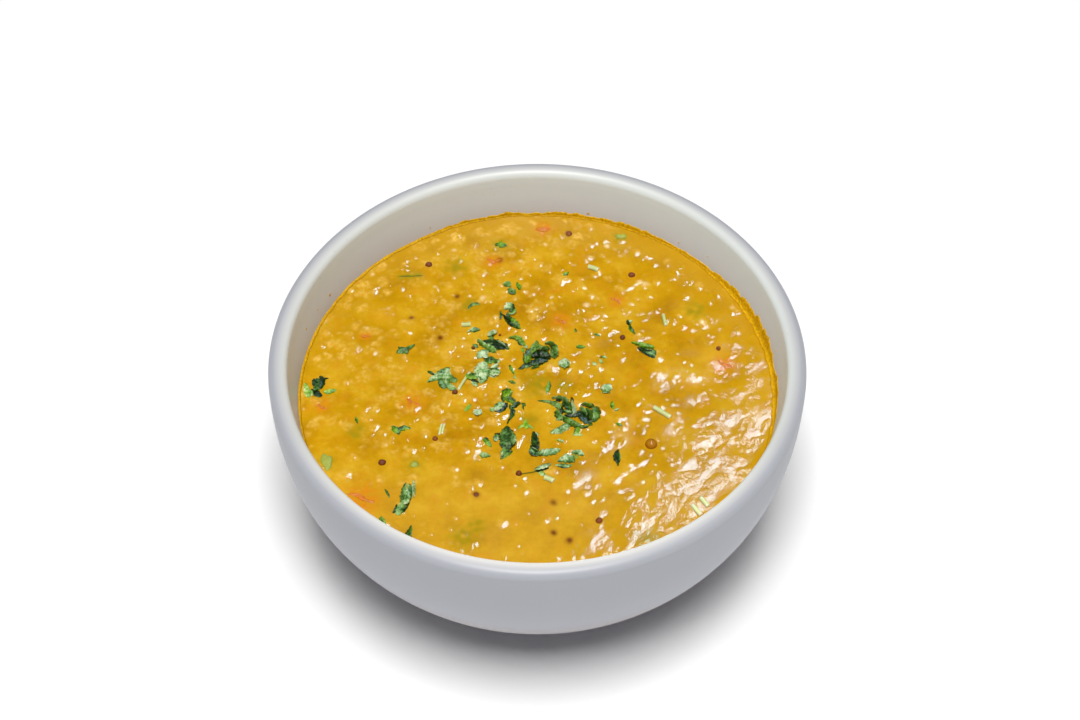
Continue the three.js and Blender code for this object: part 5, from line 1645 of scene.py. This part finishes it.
         (22.3, -25.2, 1.2, 0.4), (22.3, -26.8, 0.3, 0.1)),
        (0.5, 0.1, (22.7, -22, 0.3, 1), (22.8, -23.4, 0.7, 1), (22.6, -24.8, 0.3, 0.7)),
    ],
    "leaf_tongue": [
        (0.62, 0.05, (-36, -32.6, 0.4, 0.5), (-36.4, -34.4, 1.4, 0.9), (-36.2, -36.6, 2.6, 1.2),
         (-36.2, -38.4, 2.8, 1.1), (-36.9, -39.8, 1.4, 0.8)),
        (0.55, 0.3, (-36.4, -39, 1, 0.8), (-37, -40.6, 2, 0.9), (-37.6, -42.2, 2.1, 0.6),
         (-37.9, -43.6, 1.4, 0.3)),
        (0.03, 0.1, (-38.4, -40, 0.4, 0.2), (-38.7, -41.8, 0.8, 0.3), (-39.2, -43, 0.8, 0.2)),
        (0.08, 0.2, (-35, -39.4, 0.5, 0.3), (-35.8, -41, 0.8, 0.3), (-36.6, -42.8, 0.7, 0.2)),
        (0.88, 0, (-33.9, -31.8, 0.4, 0.5), (-34, -33.6, 1, 0.8), (-33.9, -35.4, 1, 0.8),
         (-33.8, -37.6, 0.4, 0.4)),
        (0.45, 0.1, (-35.2, -33, 0.5, 0.4), (-34.9, -35, 1.3, 0.6), (-34.9, -37.2, 1.2, 0.6),
         (-34.8, -38.8, 0.5, 0.3)),
    ],
    "leaf_spear": [
        (0.14, 0.45, (-34.2, -46.8, 0.3, 0.3), (-34.4, -48.2, 1, 0.6), (-34.9, -49.6, 1.7, 0.7),
         (-35.1, -50.6, 2.2, 0.4)),
        (0.03, 0.1, (-35.9, -50.8, 0.4, 0.2), (-34.8, -50.9, 0.8, 0.3), (-33.9, -51.3, 0.3, 0.1)),
    ],
    "leaf_nick": [
        (0.5, 0.5, (-42.4, -43.9, 0.4, 0.2), (-42.3, -45, 1.5, 0.4), (-41.9, -46.4, 1.7, 0.4),
         (-41.6, -47.4, 0.5, 0.1)),
        (0.03, 0.1, (-42.3, -45.2, 0.3, 0.7), (-41.9, -46, 0.8, 0.7), (-41.5, -46.8, 0.3, 0.4)),
    ],
    "leaf_wing": [
        (0.25, 0.9, (-40.6, -12.9, 0.5, 0.2), (-39.8, -14, 2.2, 0.4), (-39, -14.8, 2, 0.3),
         (-38.6, -15.9, 0.5, 0.1)),
        (0.22, 0.8, (-38.9, -14.4, 0.6, 0.3), (-37.6, -13.6, 1.8, 0.5), (-36.4, -13.4, 1.2, 0.3),
         (-35.4, -13.9, 0.3, 0.1)),
    ],
    "flakes": [
        (0.3, 0.9, (11.2, 16, 0.8, 0.1), (12.4, 16.1, 1.3, 0.2), (13.8, 16, 0.6, 0.1)),
        (0.2, 0.8, (16.3, 21, 0.3, 0), (17.2, 20.6, 0.9, 0.1), (18, 20.1, 0.3, 0)),
        (0.1, 0.8, (11, 23, 0.3, 0), (11.1, 22.2, 0.7, 0.1), (11.1, 21.5, 0.3, 0)),
        (0.85, 0.4, (15.8, 10.4, 0.3, 0.2), (16.4, 9.7, 1.2, 0.4), (16.8, 9, 0.3, 0.2)),
        (0.8, 0.4, (17.8, 11.6, 0.3, 0.2), (18.2, 10.9, 1.1, 0.4), (18.3, 10, 0.4, 0.2)),
        (0.8, 0.3, (18.5, 12.4, 0.3, 0.3), (19.3, 12.3, 1, 0.4), (20, 12, 0.3, 0.2)),
        (0.1, 0.6, (18, 12.2, 0.3, 0.2), (18.6, 12.6, 0.6, 0.2), (19.1, 12.9, 0.3, 0.2)),
        (0.3, 1, (21.2, -3.8, 0.4, 0), (21.1, -5.2, 1.2, 0.2), (21.4, -6.8, 0.5, 0.1)),
        (0.8, 0.3, (21.6, -7.2, 0.3, 0.2), (22.4, -6.9, 0.7, 0.3), (23, -6.5, 0.3, 0.2)),
        (0.4, 1, (-20.4, -7.6, 0.4, 0), (-19.6, -6.4, 1.3, 0.1), (-18.8, -4.9, 0.5, 0)),
        (0.3, 0.9, (-7.9, 9.4, 0.4, 0.1), (-7.5, 8, 1, 0.2), (-6.8, 6.6, 0.7, 0.1), (-6.5, 5.6, 0.3, 0)),
        (0.7, 0.4, (-6.6, 5.6, 0.3, 0.1), (-6.5, 4.9, 0.7, 0.3), (-6.6, 4.2, 0.3, 0.1)),
        (0.3, 0.7, (-8.2, 3.4, 0.4, 0.1), (-7.2, 3, 0.9, 0.2), (-6.2, 2.4, 0.5, 0.1)),
        (0.3, 1, (3.4, 3.2, 0.4, 0), (3.2, 1.6, 1.4, 0.1), (3, 0.2, 1.2, 0.1), (2.6, -1.2, 0.4, 0)),
        (0.15, 0.9, (-51, -9.6, 0.3, 0), (-50.7, -10.8, 0.9, 0.1), (-50.3, -12, 0.4, 0)),
        (0.25, 0.9, (-12.6, 55.8, 0.8, 0), (-10.9, 55.8, 2.4, 0.2), (-9, 55.4, 0.8, 0)),
        (0.2, 0.9, (-20.1, 30.4, 0.4, 0), (-19.3, 31.8, 1, 0.1), (-17.8, 32.4, 1, 0.1),
         (-16.6, 32, 0.3, 0)),
        (0.25, 0.9, (7.6, 43.2, 0.4, 0), (8.4, 44, 1.4, 0.2), (9.2, 44.8, 0.4, 0)),
        (0.25, 0.4, (-41.8, -34.9, 0.3, 0.1), (-41.2, -36, 0.8, 0.2), (-40.4, -37.8, 0.3, 0)),
        (0.3, 0.8, (22, -11.8, 0.4, 0), (22.8, -12.2, 1.1, 0.2), (23.8, -12.8, 0.3, 0.1)),
    ],
}
print("fragments of leaf:", sum(len(parts) for parts in FRAGMENTS.values()))


# %% Coriander leaf, and its pieces
def coriander_leaf():
    """Fresh coriander: waxy and dark on its face, paler and bluish underneath, with light veins."""
    material, tree, shader, place = new_material("coriander_leaf")
    pale, fresh, vein = (
        add_node(tree, "ShaderNodeAttribute", attribute_name=name).outputs["Fac"]
        for name in ("pale", "fresh", "vein")
    )
    # Patches of bloom and water about 0.8 mm across: 1000 / 0.8 = 1250 to the metre.
    patches = add_node(tree, "ShaderNodeTexNoise", {"Vector": place, "Scale": 1250.0, "Detail": 2.0})
    uneven = add_node(tree, "ShaderNodeMapRange", {
        "Value": patches.outputs["Fac"],
        "From Min": 0.3, "From Max": 0.7, "To Min": -0.24, "To Max": 0.18,
    })
    lifted = add_node(tree, "ShaderNodeMath", {
        0: vein, 1: 0.07, 2: uneven.outputs["Result"],
    }, operation="MULTIPLY_ADD")
    tone = add_node(tree, "ShaderNodeMath", {0: pale, 1: lifted.outputs[0]}, operation="ADD").outputs[0]
    # From the dark face to the pale back, of a grown leaf and of a young one. The near-black end also
    # serves as painted shade in the crevices of the clumps.
    grown = add_node(tree, "ShaderNodeValToRGB", {"Fac": tone}, ("102405", "2C5016", "6E9A56", "CADEB2"))
    young = add_node(tree, "ShaderNodeValToRGB", {"Fac": tone}, ("244A06", "6F9E14", "9CC034", "D4E288"))
    colour = coated(tree, grown.outputs["Color"], (fresh, young.outputs["Color"]))
    rough = add_node(tree, "ShaderNodeMapRange", {
        "Value": patches.outputs["Fac"],
        "From Min": 0.3, "From Max": 0.7, "To Min": 0.24, "To Max": 0.44,
    })
    bump = add_node(tree, "ShaderNodeBump", {
        "Height": lifted.outputs[0], "Strength": 0.8, "Distance": 0.3 * MM,
    })
    tree.links.new(colour, shader.inputs["Base Color"])
    tree.links.new(rough.outputs["Result"], shader.inputs["Roughness"])
    tree.links.new(bump.outputs["Normal"], shader.inputs["Normal"])
    shader.inputs["IOR"].default_value = 1.36
    shader.inputs["Subsurface Weight"].default_value = 0.12
    shader.inputs["Subsurface Scale"].default_value = 0.6 * MM
    return material


leaf_skin = coriander_leaf()
for n, (name, parts) in enumerate(FRAGMENTS.items()):
    shape = join([ribbon(*part, seed=100 * n + m) for m, part in enumerate(parts)])
    if name == "flakes":
        make_piece("leaf_flakes", shape, leaf_skin, ["dal"])
    else:
        make_piece(name + "_pieces", shape, leaf_skin, [name])

# %% [markdown]
# ## Table, light and air
#
# The bowl stands on a plain pale table under one soft lamp, almost overhead and a little towards
# the eater, which puts the shadow round the foot. A small bright window behind and to the right is
# what the wet dal mirrors: it gives the broken white highlights on that side. The dal would turn the
# inside wall all yellow, so a small ball of cool light hangs just over it. A faint cool sky fills the
# rest. A lamp lights everything unless it is linked to a collection, as the window and the ball are.


# %% Table
def pale_table():
    """Matt white laminate: flat and even, with a grain of 1.1 mm that is drawn almost unseen."""
    material, tree, shader, place = new_material("matt_white_laminate")
    fine = add_node(tree, "ShaderNodeTexNoise", {"Vector": place, "Scale": 900.0, "Detail": 2.0})
    colour = coated(tree, "FAFBFD", (fine.outputs["Fac"], "FBFCFE"))
    tree.links.new(colour, shader.inputs["Base Color"])
    shader.inputs["Roughness"].default_value = 0.9
    shader.inputs["Specular IOR Level"].default_value = 0.1
    return material


def table_top(half):
    """A square of table, from minus half to plus half a side in metres. It is stage, not part."""
    mesh = bpy.data.meshes.new("table")
    corners = [(-half, -half, 0), (half, -half, 0), (half, half, 0), (-half, half, 0)]
    mesh.from_pydata(corners, [], [[0, 1, 2, 3]])
    mesh.materials.append(pale_table())
    table = bpy.data.objects.new("table", mesh)
    scene.collection.objects.link(table)
    return table


table = table_top(3.0)
print("table, m:", [round(v, 2) for v in table.dimensions])


# %% Lamps
def lamp(name, kind, place, watts, colour, **form):
    """A light at a place in metres. Its form is whatever else this kind of light can be told."""
    data = bpy.data.lights.new(name, kind)
    data.energy = watts
    data.color = colour
    for key, value in form.items():
        setattr(data, key, value)
    light = bpy.data.objects.new(name, data)
    light.location = place
    scene.collection.objects.link(light)
    return light


def aim(light, target):
    """Turn a light's face to a target in metres."""
    direction = Vector(target) - light.location
    light.rotation_euler = direction.to_track_quat("-Z", "Y").to_euler()


key = lamp("soft_lamp", "AREA", (0.0, -0.72, 2.97), 110.0, (1.0, 0.985, 0.96),
           shape="RECTANGLE", size=1.05, size_y=1.5)
aim(key, (0.0, 0.0, 0.05))
window = lamp("window", "AREA", (0.140, 0.284, 0.62), 3.0, (0.50, 0.74, 1.0),
              shape="RECTANGLE", size=0.137, size_y=0.20)
aim(window, (0.06, -0.06, 0.054))
fill = lamp("inside_fill", "POINT", (0.014, 0.002, 0.0675), 0.05, (0.58, 0.83, 1.0),
            shadow_soft_size=0.008)
print("lamps:", [(light.name, round(light.data.energy, 2)) for light in (key, window, fill)], "W")


# %% What each lamp lights
def light_only(light, name, pieces):
    """Let a light fall on these pieces alone."""
    lit = bpy.data.collections.new(name)
    for piece in pieces:
        lit.objects.link(piece)
    light.light_linking.receiver_collection = lit


# The fill is for the wall alone, and nothing shows or mirrors the lamp itself.
light_only(fill, "lit_by_the_fill", [bowl])
fill.visible_camera = False
fill.visible_glossy = False
# The window's cold shine would turn the white rim blue, so the food alone mirrors it.
meshes = [piece for piece in bpy.data.objects if piece.type == "MESH"]
food = [piece for piece in meshes if piece not in (bowl, table, tide_line)]
light_only(window, "lit_by_the_window", food)
window.visible_diffuse = False
print("the window lights", len(food), "of", len(meshes), "meshes")

# %% The sky
world = bpy.data.worlds.new("sky")
world.use_nodes = True
sky = world.node_tree.nodes["Background"]
sky.inputs["Color"].default_value = (0.75, 0.87, 1.0, 1.0)
sky.inputs["Strength"].default_value = 0.036
scene.world = world
# Standard shows the colours of the materials as they are, without a film look.
scene.view_settings.view_transform = "Standard"
print("sky strength:", round(sky.inputs["Strength"].default_value, 3))
